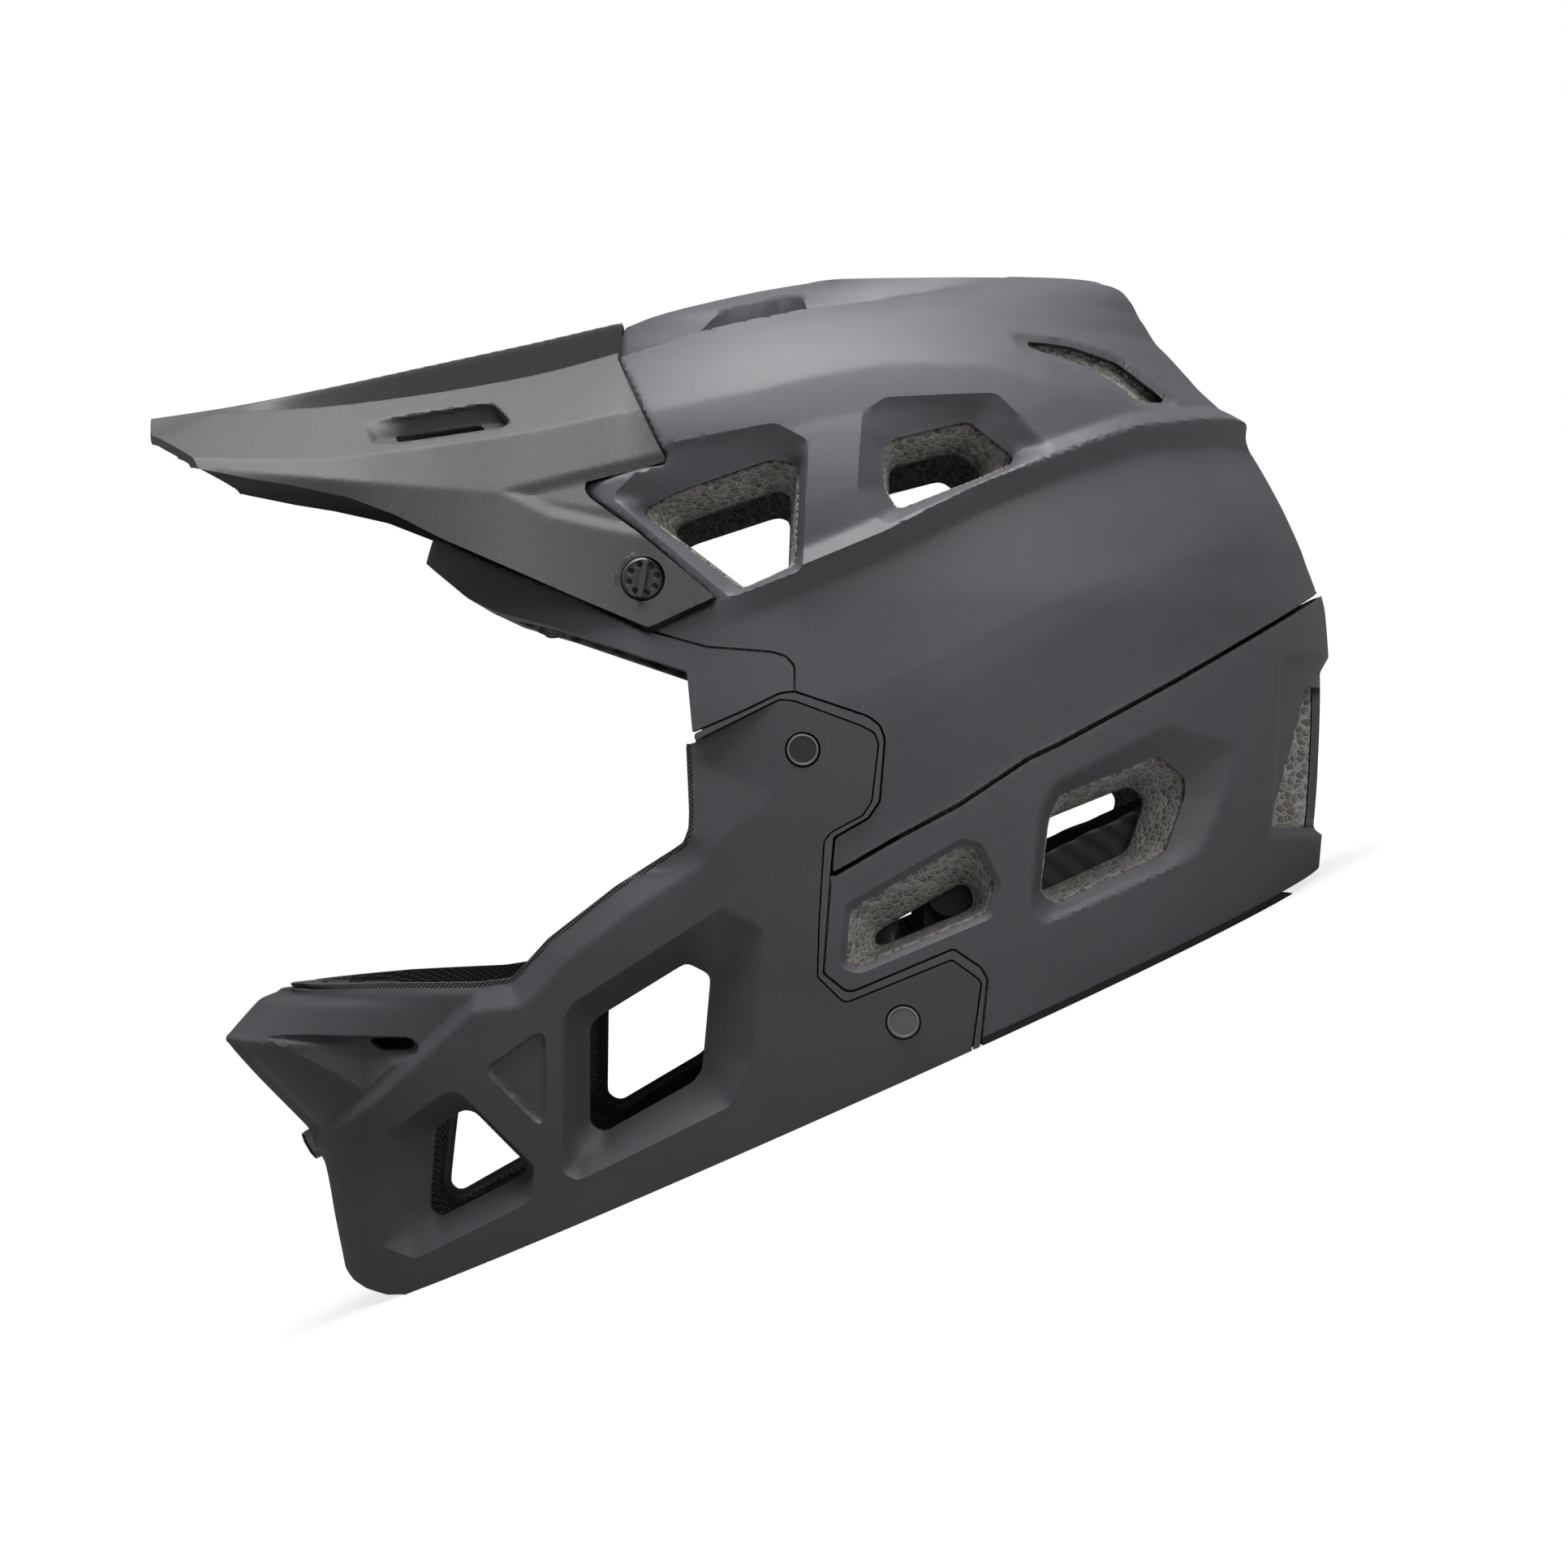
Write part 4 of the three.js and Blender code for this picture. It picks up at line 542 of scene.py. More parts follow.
def plastic(name, dark, light, rough, grain=0.00003, fleck=0.12):
    """Matte moulded plastic: fine grain, faint clouding and a few worn flecks."""
    m, t, b = new_material(name)
    cloud = texture(t, "Noise", Scale=26.0, Detail=4.0, Roughness=0.6)
    fine = texture(t, "Noise", Scale=2600.0, Detail=2.0)
    specks = ramp(t, fine, [(0.35, (0.6, 0.6, 0.6)), (0.65, (1.2, 1.2, 1.2))])
    base = ramp(t, cloud, [(0.3, dark), (0.72, light)])
    mix = add(t, "Mix", ((0, fleck * 2), (6, base), (7, specks)), data_type="RGBA",
              blend_type="MULTIPLY")
    wear = add(t, "MapRange", Value=cloud, **{"From Min": 0.3, "From Max": 0.7, "To Min": rough - 0.04,
                                              "To Max": rough + 0.05})
    give(b, Roughness=wear.outputs["Result"],
         **{"Base Color": mix.outputs[2], "Specular IOR Level": 0.42})
    bump(t, b, fine, 0.55, grain)
    return m


def foam(name):
    """Expanded foam: packed bead cells with pale walls."""
    m, t, b = new_material(name)
    edge = texture(t, "Voronoi", "Distance", feature="DISTANCE_TO_EDGE", Scale=430.0)
    tone = texture(t, "Voronoi", "Color", feature="F1", Scale=430.0)
    mix = add(t, "Mix", ((0, ramp(t, edge, [(0.0, (1, 1, 1)), (0.09, (0, 0, 0))])),
                         (6, ramp(t, tone, [(0.2, (0.17, 0.16, 0.148)), (0.9, (0.34, 0.32, 0.30))])),
                         (7, (0.52, 0.50, 0.47, 1))), data_type="RGBA")
    give(b, Roughness=0.85, **{"Base Color": mix.outputs[2]})
    bump(t, b, ramp(t, edge, [(0.0, (0, 0, 0)), (0.3, (1, 1, 1))]), 0.9, 0.0004)
    return m


def woven(name, dark, light, scale):
    """Two sets of crossing threads."""
    m, t, b = new_material(name)
    mix = add(t, "Math", operation="MULTIPLY")
    for k, direction in enumerate("XZ"):
        spin = add(t, "Mapping", Vector=coords(t), Rotation=(0.3, 0.2, 0.6))
        give(mix, [(k, texture(t, "Wave", at=spin.outputs["Vector"], bands_direction=direction,
                               Scale=scale, Distortion=0.4))])
    give(b, Roughness=0.75, **{"Base Color": ramp(t, mix.outputs[0], [(0.05, dark), (0.75, light)]),
                               "Sheen Weight": 0.15})
    bump(t, b, mix.outputs[0], 0.8, 0.0003)
    return m


def ribbed(name, dark, light, scale):
    """Padding cover with raised ribs and a fine knit."""
    m, t, b = new_material(name)
    ribs = texture(t, "Wave", bands_direction="DIAGONAL", Scale=scale, Distortion=0.6, Detail=1.0)
    knit = texture(t, "Noise", Scale=1500.0, Detail=2.0)
    total = add(t, "Math", ((0, knit), (1, 0.25), (2, ribs)), operation="MULTIPLY_ADD")
    give(b, Roughness=0.9, **{"Base Color": ramp(t, ribs, [(0.1, dark), (0.8, light)]),
                              "Sheen Weight": 0.25, "Sheen Roughness": 0.6})
    bump(t, b, total.outputs[0], 0.8, 0.0009)
    return m


def metal(name, colour, rough):
    """Turned steel with fine brushing."""
    m, t, b = new_material(name)
    stretch = add(t, "Mapping", Vector=coords(t), Scale=(1, 0.05, 1))
    brushed = texture(t, "Noise", at=stretch.outputs["Vector"], Scale=900.0, Detail=3.0)
    darker = tuple(c * 0.7 for c in colour)
    give(b, Metallic=1.0, Roughness=rough,
         **{"Base Color": ramp(t, brushed, [(0.3, darker), (0.7, colour)])})
    bump(t, b, brushed, 0.3, 0.00003)
    return m


M = {
    "shell": plastic("shell_matte", (0.068, 0.0667, 0.0765), (0.078, 0.0765, 0.0875), 0.52),
    "visor": plastic("visor_matte", (0.054, 0.0528, 0.0528), (0.065, 0.0632, 0.0632), 0.58, 0.00006,
                     0.3),
    "guard": plastic("guard_matte", (0.056, 0.055, 0.0625), (0.064, 0.063, 0.072), 0.52),
    "button": plastic("button_satin", (0.016, 0.016, 0.018), (0.022, 0.022, 0.025), 0.38),
    "screw": plastic("screw_satin", (0.042, 0.042, 0.044), (0.060, 0.060, 0.063), 0.34),
    # The lower buttons' plastic is a lighter copy of the button plastic: painted light, for faces that
    # turn towards the lamp
    "lower": plastic("button_painted_lit", (0.075, 0.075, 0.080), (0.095, 0.095, 0.10), 0.40),
    # Pale plastic for the thin ring at each button cap's rim: a painted highlight
    "pale": plastic("button_rim_painted_highlight", (0.12, 0.12, 0.125), (0.17, 0.17, 0.175), 0.40),
    "core": plastic("cap_core", (0.28, 0.28, 0.29), (0.36, 0.36, 0.37), 0.45),
    "seal": plastic("rubber_black", (0.010, 0.010, 0.011), (0.016, 0.016, 0.017), 0.7),
    "foam": foam("bead_foam"),
    "liner": woven("liner_weave", (0.012, 0.012, 0.013), (0.10, 0.10, 0.105), 300.0),
    "net": woven("net_weave", (0.004, 0.004, 0.004), (0.03, 0.03, 0.032), 420.0),
    "pad": ribbed("pad_cover", (0.006, 0.006, 0.007), (0.022, 0.022, 0.024), 60.0),
    "web": woven("webbing", (0.008, 0.008, 0.008), (0.03, 0.03, 0.03), 500.0),
    "steel": metal("steel_turned", (0.45, 0.45, 0.46), 0.35),
}


# ---- shells and foam
def vent(grid, recess, hole, depth):
    """Depth of a bevelled recess between its mouth and its hole; negative outside its mouth."""
    mouth = -grid.round(grid.poly(recess), 0.7)
    floor = maximum(grid.round(grid.poly(hole), 1.0), 0)
    return np.where(mouth < 0, mouth * 0.8, depth * mouth / (maximum(mouth, 0) + floor + 0.05))


def shell_lift(grid):
    """How far the skin stands out of the plain form: below and above the belt, and the recesses."""
    lift = np.zeros((len(grid.x), len(grid.z)), np.float32)
    below = grid.line(MAIN_SEAM[::-1])
    lift -= interp(below, [-0.4, 0.0, 8, 30], [0, 1.6, 1.3, 0]) * clip((grid.X - 8) / 8, 0, 1)
    crest = grid.line(CREST)
    fade = clip((112 - grid.X) / 30, 0, 1)
    lift += fade * interp(crest, [-14, -0.5, 0.5, 22], [0, 2.2, 2.2, 0])
    # Two slopes meet in the belt's sharp ridge
    belt = grid.line(BELT)
    fade = clip((grid.X + 22) / 26, 0, 1)
    over = fade * interp(belt, [-30, 0, 5.0, 16], [21, 2.4, -1.0, 0])
    under = fade * interp(belt, [-42, -8, 0, 30], [0, -3.0, 2.4, 24])
    cut = maximum(vent(grid, TEMPLE_VENT, TEMPLE_HOLE, 7), vent(grid, SIDE_VENT, SIDE_HOLE, 7))
    cut = maximum(cut, vent(grid, EAR_VENT, EAR_HOLE, 5))
    # The collar vent and the rear slit only have a bevelled edge
    collar = grid.round(grid.poly(COLLAR_HOLE), 1.0)
    slit = grid.round(grid.poly(REAR_SLIT), 0.7)
    cut = maximum.reduce([cut, minimum(1.6, 1.6 - 0.8 * collar), minimum(1.8, 1.6 - 0.7 * slit)])
    seat = poly(seat_region(), grid.X, grid.Z)
    return lift + over, lift + under, cut, -SEAT_DEPTH * clip(0.5 - seat / 1.2, 0, 1)


def seat_region():
    """The part of the shell that lies under the visor."""
    seat = [(x, z - (1.4 if i > 8 else 0)) for i, (x, z) in enumerate(VISOR_SEAT)]
    forward = [(x, z + 3.2) for x, z in BROW_SEAM[5:]]
    return [(seat[0][0], FAR)] + seat + forward + [(-FAR, BROW_SEAM[-1][1]), (-FAR, FAR)]


def trough(grid, plain):
    """The long hollow on each side of the crown's raised spine, out to the crest line."""
    crest = interp(grid.x, *np.array(CREST_TOP).T)
    row = clip(((crest - grid.z[0]) / grid.h).astype(int), 0, len(grid.z) - 1)
    cut = plain[np.arange(len(grid.x)), :, row]
    outer = np.where(cut < 0, grid.y[None, :], 0).max(1)
    outer = np.convolve(np.pad(outer, 4, "edge"), np.ones(9) / 9, "valid")
    depth = interp(grid.x, [-60, 10, 45, 72], [15.5, 13.5, 7.5, 0])
    y = grid.y[None, :]
    inner = interp(grid.x, [-55, -52, 30, 72], [10, 17, 17, 15])[:, None]
    s = (y - inner) / maximum(outer[:, None] - inner, 3)
    shape = interp(s, [-0.6, 0, 0.12, 0.7, 0.94, 1.0, 1.6], [-5, 0, 1, 0.75, 0.36, 0.0, -3.6])
    return (depth[:, None] * shape).astype(np.float32)[:, :, None]


def top_vent(grid, inset):
    """The slot in the trough's floor, negative inside."""
    outline = [(-34.1 + inset, 24 + inset), (-20 + inset, 18.6 + inset), (6 - inset, 18.6 + inset),
               (11.9 - inset, 30), (3.4 - inset, 40 - inset), (-34.1 + inset, 40 - inset)]
    flat = poly(outline, grid.x[:, None], grid.y[None, :])
    return maximum(flat[:, :, None], (60 - grid.z)[None, None, :]).astype(np.float32)


def rear_vent(grid, inset):
    """The upright vent beside the rear column, seen from behind; negative inside."""
    outline = [(13 + inset, -14.0 + inset), (60 - inset, -14.0 + inset), (55 - inset, 2),
               (42 - inset, 31 - inset), (13 + inset, 31 - inset)]
    flat = soft(poly(outline, grid.y[:, None], grid.z[None, :]), 3)
    return maximum(flat[None, :, :], (120 - grid.x)[:, None, None]).astype(np.float32)


def shell_holes(grid, inset, reach, depth=None):
    """Every vent hole, negative inside; in the foam they narrow and lean with depth."""
    cut = np.full((len(grid.x), len(grid.y), len(grid.z)), 50, np.float32)
    for hole, width, deep, lean, close in (
            (TEMPLE_HOLE, 92, reach, (1.5, -4.5), 4), (SIDE_HOLE, 94, reach, (-2.0, -4.0), 4),
            (REAR_SLIT, 74, 30, (0, 0), 0), (EAR_HOLE, 100, reach, (-6.5, -3.5), 5),
            (COLLAR_HOLE, 106, reach, (1.5, -4.0), 6.5)):
        flat = grid.tall(grid.round(grid.poly(hole), 1.0) + inset)
        if depth is not None and deep == reach:
            inner = grid.poly([(x + lean[0], z + lean[1]) for x, z in hole])
            inner = grid.tall(grid.round(inner, 1.6) + close)
            flat = flat + (inner - flat) * clip(depth / 15, 0, 1)
        elif depth is not None:
            flat = maximum(flat, depth - 1.2)
        cut = minimum(cut, maximum(flat, (width - deep) - grid.Y3))
    cut = minimum(cut, top_vent(grid, inset))
    return minimum(cut, rear_vent(grid, inset))


def build_shells():
    grid = Grid((1.8, 1.25), (-136, 186), (0, 118), (-104, 168))
    plain = grid.form()
    over, under, cut, seat = shell_lift(grid)
    lift = minimum(over, under)
    # The side-view lifts fade out near the middle, where the side view no longer tells the place
    near = clip((grid.Y3 - 14) / 18 + clip((grid.x[:, None, None] - 118) / 14, 0, 1), 0, 1)
    groove = trough(grid, plain)
    # The rear column and its vents are set in
    back = interp(grid.z, [-16.5, -14.5, 36, 41], [0, 3.0, 3.0, 0])[None, None, :] * interp(
        grid.Y3, [58, 64], [1, 0]) * clip((grid.x[:, None, None] - 120) / 8, 0, 1)
    base = plain - grid.tall(seat) + back
    depth = maximum(grid.tall(minimum(cut, 0)) + grid.tall(maximum(cut, 0)) * near, groove)
    skin = [level(base - grid.tall(over) * near, grid.h), level(base - grid.tall(under) * near, grid.h),
            level(base - grid.tall(lift) * near + depth, grid.h)]
    # The inner side keeps the wall's depth below every step of the outer side
    lift, seat = -spread(-lift, SPREAD, grid.h), -spread(-seat, SPREAD, grid.h)
    low = plain - grid.tall(lift) * near - grid.tall(seat) + back
    low += maximum(grid.tall(spread(maximum(cut, 0), SPREAD, grid.h)) * near,
                   spread(maximum(groove[:, :, 0], 0), SPREAD, grid.h)[:, :, None])
    low = level(low, grid.h)
    port = grid.wall(PORT_AREA)
    rim = grid.tall(2.3 - grid.row_z)
    pad = maximum(grid.rod(SCREW, 8.9), 70 - grid.Y3)
    holes = -minimum(shell_holes(grid, 0, HOLE_REACH), pad)
    shell = skin + [-(low + SHELL_WALL), holes, -port, rim]
    far = [(BROW_SEAM[-1][0], FAR), (MAIN_SEAM[0][0], FAR)]
    lower = LOWER_SEAM + DOCK_LOWER + [(DOCK_LOWER[7][0], -FAR), (MAIN_SEAM[0][0], -FAR)]
    rise = (0, 0, 0, 0, 1.2, 4.0, 4.0, 4.0, 4.0, 4.0)
    seam = [(x, z + up) for (x, z), up in zip(BROW_SEAM, rise)]
    upper = MAIN_SEAM + DOCK_UPPER + seam + far
    brow = seam[::-1] + DOCK_UPPER[6:] + BROW_LOWER + [(seam[-1][0], BROW_LOWER[3][1])]
    for name, region in (("upper_shell", upper), ("lower_shell", lower), ("brow_frame", brow)):
        parts = shell + [grid.wall(region, SEAM)]
        centre_piece(name + "_skin", parts, grid, M["shell"], "helmet", "shell", name)
    build_foam(grid, plain, low, port, far)


def build_foam(grid, plain, skin, port, far):
    inner = raw_form(30 + (grid.x - 30) / 0.784, grid.y / 0.761, 13.2 + (grid.z - 13.2) / 0.821)
    inner = clip(inner / 220, -40, 40)
    wall = SHELL_WALL + GAP
    rim = grid.tall(np.where(grid.X < 64.0, 0.3, 2.3) - grid.row_z)
    well = maximum(grid.rod(SCREW, 7.8), (WIDTH_AT_SCREW - 15.1) - grid.Y3)
    holes = -minimum(shell_holes(grid, 0.5, HOLE_REACH, -(skin + wall)), well)
    body = [skin + wall, -inner, holes, -port, rim]
    crown = MAIN_SEAM + DOCK_UPPER + BROW_LOWER[:3] + [(BROW_SEAM[-1][0], BROW_LOWER[3][1])] + far
    collar = LOWER_SEAM + COLLAR_EDGE
    parts = body + [grid.wall(crown, SEAM)]
    centre_piece("foam_crown_beads", parts, grid, M["foam"], "helmet", "foam", "foam_crown")
    ledge = DOCK_EDGE + [(DOCK_LOWER[7][0], -FAR), (-FAR, -FAR), (-FAR, BROW_LOWER[2][1])]
    under = maximum(grid.wall(ledge), -(plain + ARM_DEPTH + 1.1))
    for name, place in BUTTONS.items():
        under = minimum(under, maximum(grid.rod(place, 4.8), (BORE_WIDTH[name] - 16.8) - grid.Y3))
    anchor = np.hypot(grid.row_x - STRAP_ANCHOR[0], grid.row_z - STRAP_ANCHOR[1]) - 7.6
    under = minimum(under, maximum(grid.tall(anchor), grid.Y3 - 83.0))
    parts = body + [grid.wall(collar, SEAM), -under]
    centre_piece("foam_collar_beads", parts, grid, M["foam"], "helmet", "foam", "foam_collar")


def build_trim():
    """The black trim under the lower shell's rim."""
    grid = Grid((1.2, 0.7), (58, 166), (0, 112), (-104, -34))
    d = grid.form()
    start = grid.tall(60.8 - grid.X)
    parts = [d + 0.3, -(d + 5.6), grid.tall(-grid.row_z), grid.tall(grid.row_z - 2.28), start]
    centre_piece("rim_trim_band", parts, grid, M["seal"], "helmet", "seal", "rim_trim")


def build_dock_frames():
    grid = Grid((1.5, 0.8), (-36, 70), (84, 118), (-98, 36))
    d = grid.form()
    band = DOCK_EDGE + GUARD_SEAM[::-1]
    port = -grid.wall(PORT_AREA)
    parts = [d, -(d + 6), grid.wall(band, GAP), port, grid.tall(-grid.row_z)]
    side_pieces("dock_band", parts, grid, M["shell"], "helmet", "shell", "dock_frame_SIDE")


# ---- chin guard
def guard_lift(grid):
    ridge = grid.line(RIDGE)
    nose = -3.4 * clip(ridge / 3.6, 0, 1) * (grid.X < -70)
    port = grid.poly(PORT_AREA)
    edge = np.where(grid.Z < -16, -0.6 * clip(7.5 - port, 0, 7.5), 0)
    lift = minimum(nose, edge * clip((-16 - grid.Z) / 12, 0, 1))
    facet = grid.line([(-18.5, -16.0), (-7.1, -7.6), (-3.0, -2.5), (-1.5, 26.0)])
    lift -= 0.2 * clip(facet, 0, 22) * (grid.Z > -26)
    cut = maximum(vent(grid, FRONT_VENT, FRONT_HOLE, 10), vent(grid, JAW_VENT, JAW_HOLE, 12))
    cut = maximum(cut, minimum(1.5, -1.6 * grid.round(grid.poly(TRIANGLE), 1.0)))
    # The scoop is a ramp that gets deeper towards the rear, under a sharp upper lip
    fold = grid.poly(SCOOP_FOLD)
    upper, lower = grid.poly(SCOOP_LIP), grid.poly(SCOOP_FOOT)
    ramp = clip((grid.X + 168) / 48, 0, 1) * maximum(lower, 0) / (
        maximum(lower, 0) + maximum(upper, 0) + 0.05)
    return lift, maximum(cut, minimum(9.0 * ramp, -2.5 * fold))


def build_guard():
    grid = Grid((1.8, 1.1), (-192, 66), (0, 118), (-192, 40))
    plain = grid.form()
    near = clip((grid.Y3 - 5) / 10, 0.25, 1)
    outer = grid.form(beak=True)
    lift, cut = guard_lift(grid)
    skin = level(outer - grid.tall(lift) * near, grid.h)
    cuts = level(outer + grid.tall(minimum(cut, 0)) + grid.tall(maximum(cut, 0) - lift) * near, grid.h)
    lift = lift - maximum(cut, 0)
    low = level(outer - grid.tall(-spread(-lift, SPREAD, grid.h)) * near, grid.h)
    port = grid.poly(PORT_AREA)
    chin = -grid.poly(CHIN_CUT + [(-200.0, -FAR), (-119.5, -FAR)])
    arm = grid.poly(ARM_FRONT + [(FAR, -FAR), (FAR, ARM_FRONT[0][1])])
    thick = grid.tall(GUARD_WALL + (ARM_DEPTH - GUARD_WALL) * clip(0.5 - arm / 1.2, 0, 1))
    region = grid.poly(GUARD_SEAM + [(GUARD_SEAM[-1][0], -FAR), (-FAR, -FAR), (-FAR, GUARD_SEAM[0][1])])
    holes = minimum(grid.round(grid.poly(FRONT_HOLE), 1.2), grid.round(grid.poly(JAW_HOLE), 1.2))
    scoop = maximum(grid.soft_wall(SCOOP_HOLE, 0.8), 14 - grid.Y3)
    cut = minimum(grid.tall(holes), scoop)
    # Each button has a bore for its cap over one for its stem
    for name, place in BUTTONS.items():
        seat = maximum(grid.rod(place, 5.5), (BORE_WIDTH[name] - 7) - grid.Y3)
        cut = minimum(cut, maximum(minimum(grid.rod(place, 2.7), seat), 60 - grid.Y3))
    cap = cap_field(grid, 0.5)
    parts = [skin, cuts, -(low + thick), grid.tall(region + 0.15), -grid.tall(port),
             -grid.tall(grid.row_z), -cut, -cap, grid.tall(chin)]
    centre_piece("chin_guard_skin", parts, grid, M["guard"], "chin_guard", "guard", "chin_guard")
    # Liner behind the wall, a little proud of the mouth bar
    lip = grid.poly(PORT_AREA) + 1.6
    wall = GUARD_WALL + GAP
    depth = minimum(-(plain + 14), -(low + wall + 3.4))
    collar = grid.poly(MAIN_SEAM + COLLAR_EDGE)
    inset = -minimum(grid.tall(holes) - 1.8, scoop)
    parts = [low + wall, depth, grid.tall(region + 0.3), -grid.tall(lip), grid.tall(2.0 - grid.row_z),
             -grid.tall(arm - 0.5), -grid.tall(collar - 0.6), inset, -cap, grid.tall(chin + 1.5)]
    centre_piece("chin_liner_weave", parts, grid, M["liner"], "chin_guard", "liner", "chin_liner")


def cap_frame(grid):
    """Height along the axis of the hexagonal cap under the nose, and hexagon size around it."""
    turn = math.radians(CAP_LEAN)
    ax, az = -math.cos(turn), -math.sin(turn)
    dx, dz = grid.X - CAP_AT[0], grid.Z - CAP_AT[1]
    height, across = grid.tall(dx * ax + dz * az), grid.tall(dx * -az + dz * ax)
    return height, maximum(grid.Y3, np.abs(across) * 0.866 + grid.Y3 * 0.5)


def cap_field(grid, grow):
    height, ring = cap_frame(grid)
    return maximum(maximum(ring - 4.6 - grow, height - 1.6 - grow), -height - 2.6 - grow)


# ---- visor
def visor_sheet(grid):
    """Distance above the visor's upper face, negative below it."""
    rows, count = VISOR_SECTIONS[:, 0], 7
    curve = [[smooth_table(rows, VISOR_SECTIONS[:, 1 + 2 * i + k], grid.x) for k in (0, 1)]
             for i in range(count)]
    y, z = grid.y[None, :, None], grid.z[None, None, :]
    best = np.full((len(grid.x), len(grid.y), len(grid.z)), 1e9, np.float32)
    sign, reach = np.ones(best.shape, np.float32), np.zeros(best.shape, np.float32)
    for i in range(count - 1):
        ay, az = [c[:, None, None] for c in curve[i]]
        by, bz = [c[:, None, None] for c in curve[i + 1]]
        ey, ez = by - ay, bz - az
        t = ((y - ay) * ey + (z - az) * ez) / (ey * ey + ez * ez)
        t = clip(t, -5 if i == 0 else 0, 30 if i == count - 2 else 1)
        gap = (y - ay - ey * t) ** 2 + (z - az - ez * t) ** 2
        off = (ey * (z - az) - ez * (y - ay)) / np.sqrt(ey * ey + ez * ez)
        # At a shared corner the segment that the point lies further off decides the side
        close = (gap < best - 1e-3) | ((gap < best + 1e-3) & (np.abs(off) > reach))
        best = np.where(close, gap, best)
        sign, reach = np.where(close, np.sign(off), sign), np.where(close, np.abs(off), reach)
    return (np.sqrt(best) * sign).astype(np.float32)


def build_visor():
    grid = Grid((1.6, 0.95), (-210, -10), (0, 118), (36, 164))
    plain = visor_sheet(grid)
    # The slot's recess deepens towards the rear, and the arrow is a shallow valley
    slot = clip(0.7 - 0.95 * grid.line([(-133.8, 114.3), (-96.3, 119.9), (-91.4, 119.9)]), 0, 7.0)
    slot *= clip(-grid.poly(VISOR_SLOT_VENT) / 1.4, 0, 1) * clip((grid.X + 133) / 14, 0, 1)
    arrow = clip(-0.5 * grid.poly(ARROW), 0, 1.8)
    side = clip((grid.Y3 - 26) / 3, 0, 1)
    d = plain + grid.tall(slot + arrow) * side
    under = -(plain + grid.tall(spread(slot, 2.8, grid.h) + arrow * 0.5) * side + 2.6)
    outline = VISOR_LOWER + VISOR_SEAT[:10][::-1] + [(VISOR_SEAT[0][0], FAR), (-FAR, FAR), (-FAR, 98.6)]
    tips, widths = np.array(VISOR_PLAN).T
    plan = (smooth_table(widths, tips, grid.y)[None, :] - grid.x[:, None]) * 0.8
    hole = maximum(grid.soft_wall(VISOR_SLOT, 0.6), 20 - grid.Y3)
    boss = maximum(grid.rod(SCREW, 8.5), np.abs(grid.Y3 - (WIDTH_AT_SCREW - 2.6)) - 2.3)
    bounds = [d, under, grid.wall(outline, 0.15), plan[:, :, None], -hole]
    well = maximum(grid.rod(SCREW, 6.9), (WIDTH_AT_SCREW - 1.4) - grid.Y3)
    holes = [-well, -grid.rod(SCREW, 2.9)]
    f = inside_all([minimum(inside_all(bounds), boss)] + holes)
    centre_piece("visor_peak", bounds + holes, grid, M["visor"], "visor", "visor", "visor", whole=f)


# ---- small hardware
def build_screws():
    """Thumb screws with a raised fin and a ring of small holes."""
    x, z = SCREW
    base = WIDTH_AT_SCREW - 1.4 + 0.3
    grid = Grid((0.5, 0.22), (x - 7.2, x + 7.2), (85, base + 5.2), (z - 7.2, z + 7.2))
    r = np.hypot(grid.X - x, grid.Z - z)
    head = maximum(grid.tall(r) - 6.5, np.abs(grid.Y3 - base - 1.3) - 1.3)
    head = maximum(head, (grid.tall(r) - 6.5 + grid.Y3 - base - 2.6 + 0.7) * 0.707)
    dish = maximum(grid.tall(np.abs(r - 3.6) - 2.1), base + 2.1 - grid.Y3)
    head = maximum(head, -dish)
    tilt = math.radians(10)
    u = (grid.X - x) * math.cos(tilt) - (grid.Z - z) * math.sin(tilt)
    v = (grid.X - x) * math.sin(tilt) + (grid.Z - z) * math.cos(tilt)
    lean = grid.tall(np.abs(u)) + maximum(grid.Y3 - base - 2, 0) * 0.25 - 1.6
    fin = maximum(maximum(lean, grid.tall(np.abs(v)) - 5.8), np.abs(grid.Y3 - base - 2.5) - 2.5)
    head = minimum(head, fin)
    for k in range(8):
        turn = 2 * math.pi * (k + 0.5) / 8 + tilt
        place = (x + 4.4 * math.sin(turn), z + 4.4 * math.cos(turn))
        head = maximum(head, -maximum(grid.rod(place, 0.95), base + 0.3 - grid.Y3))
    shank = maximum(grid.tall(r) - 2.5, np.abs(grid.Y3 - base + 6.2) - 6.5)
    side_pieces("thumb_screw", [minimum(head, shank)], grid, M["screw"], "visor_screw_SIDE",
                "button", "visor_screw_SIDE")


def lathe(name, profile, centre, material, segments=48):
    """A turned piece about an axis across the helmet; profile is radius and place along y."""
    rings = []
    for k in range(segments):
        a = 2 * math.pi * k / segments
        rings.append([(centre[0] + r * math.cos(a), y, centre[1] + r * math.sin(a))
                      for r, y in profile])
    n = len(profile)
    points = np.array(rings).reshape(-1, 3)
    faces = []
    for k in range(segments):
        m = (k + 1) % segments
        for i in range(n - 1):
            faces.append([k * n + i, k * n + i + 1, m * n + i + 1, m * n + i])
    faces.append([k * n for k in range(segments)][::-1])
    faces.append([k * n + n - 1 for k in range(segments)])
    return mesh_object(name, raked(points), faces, material)


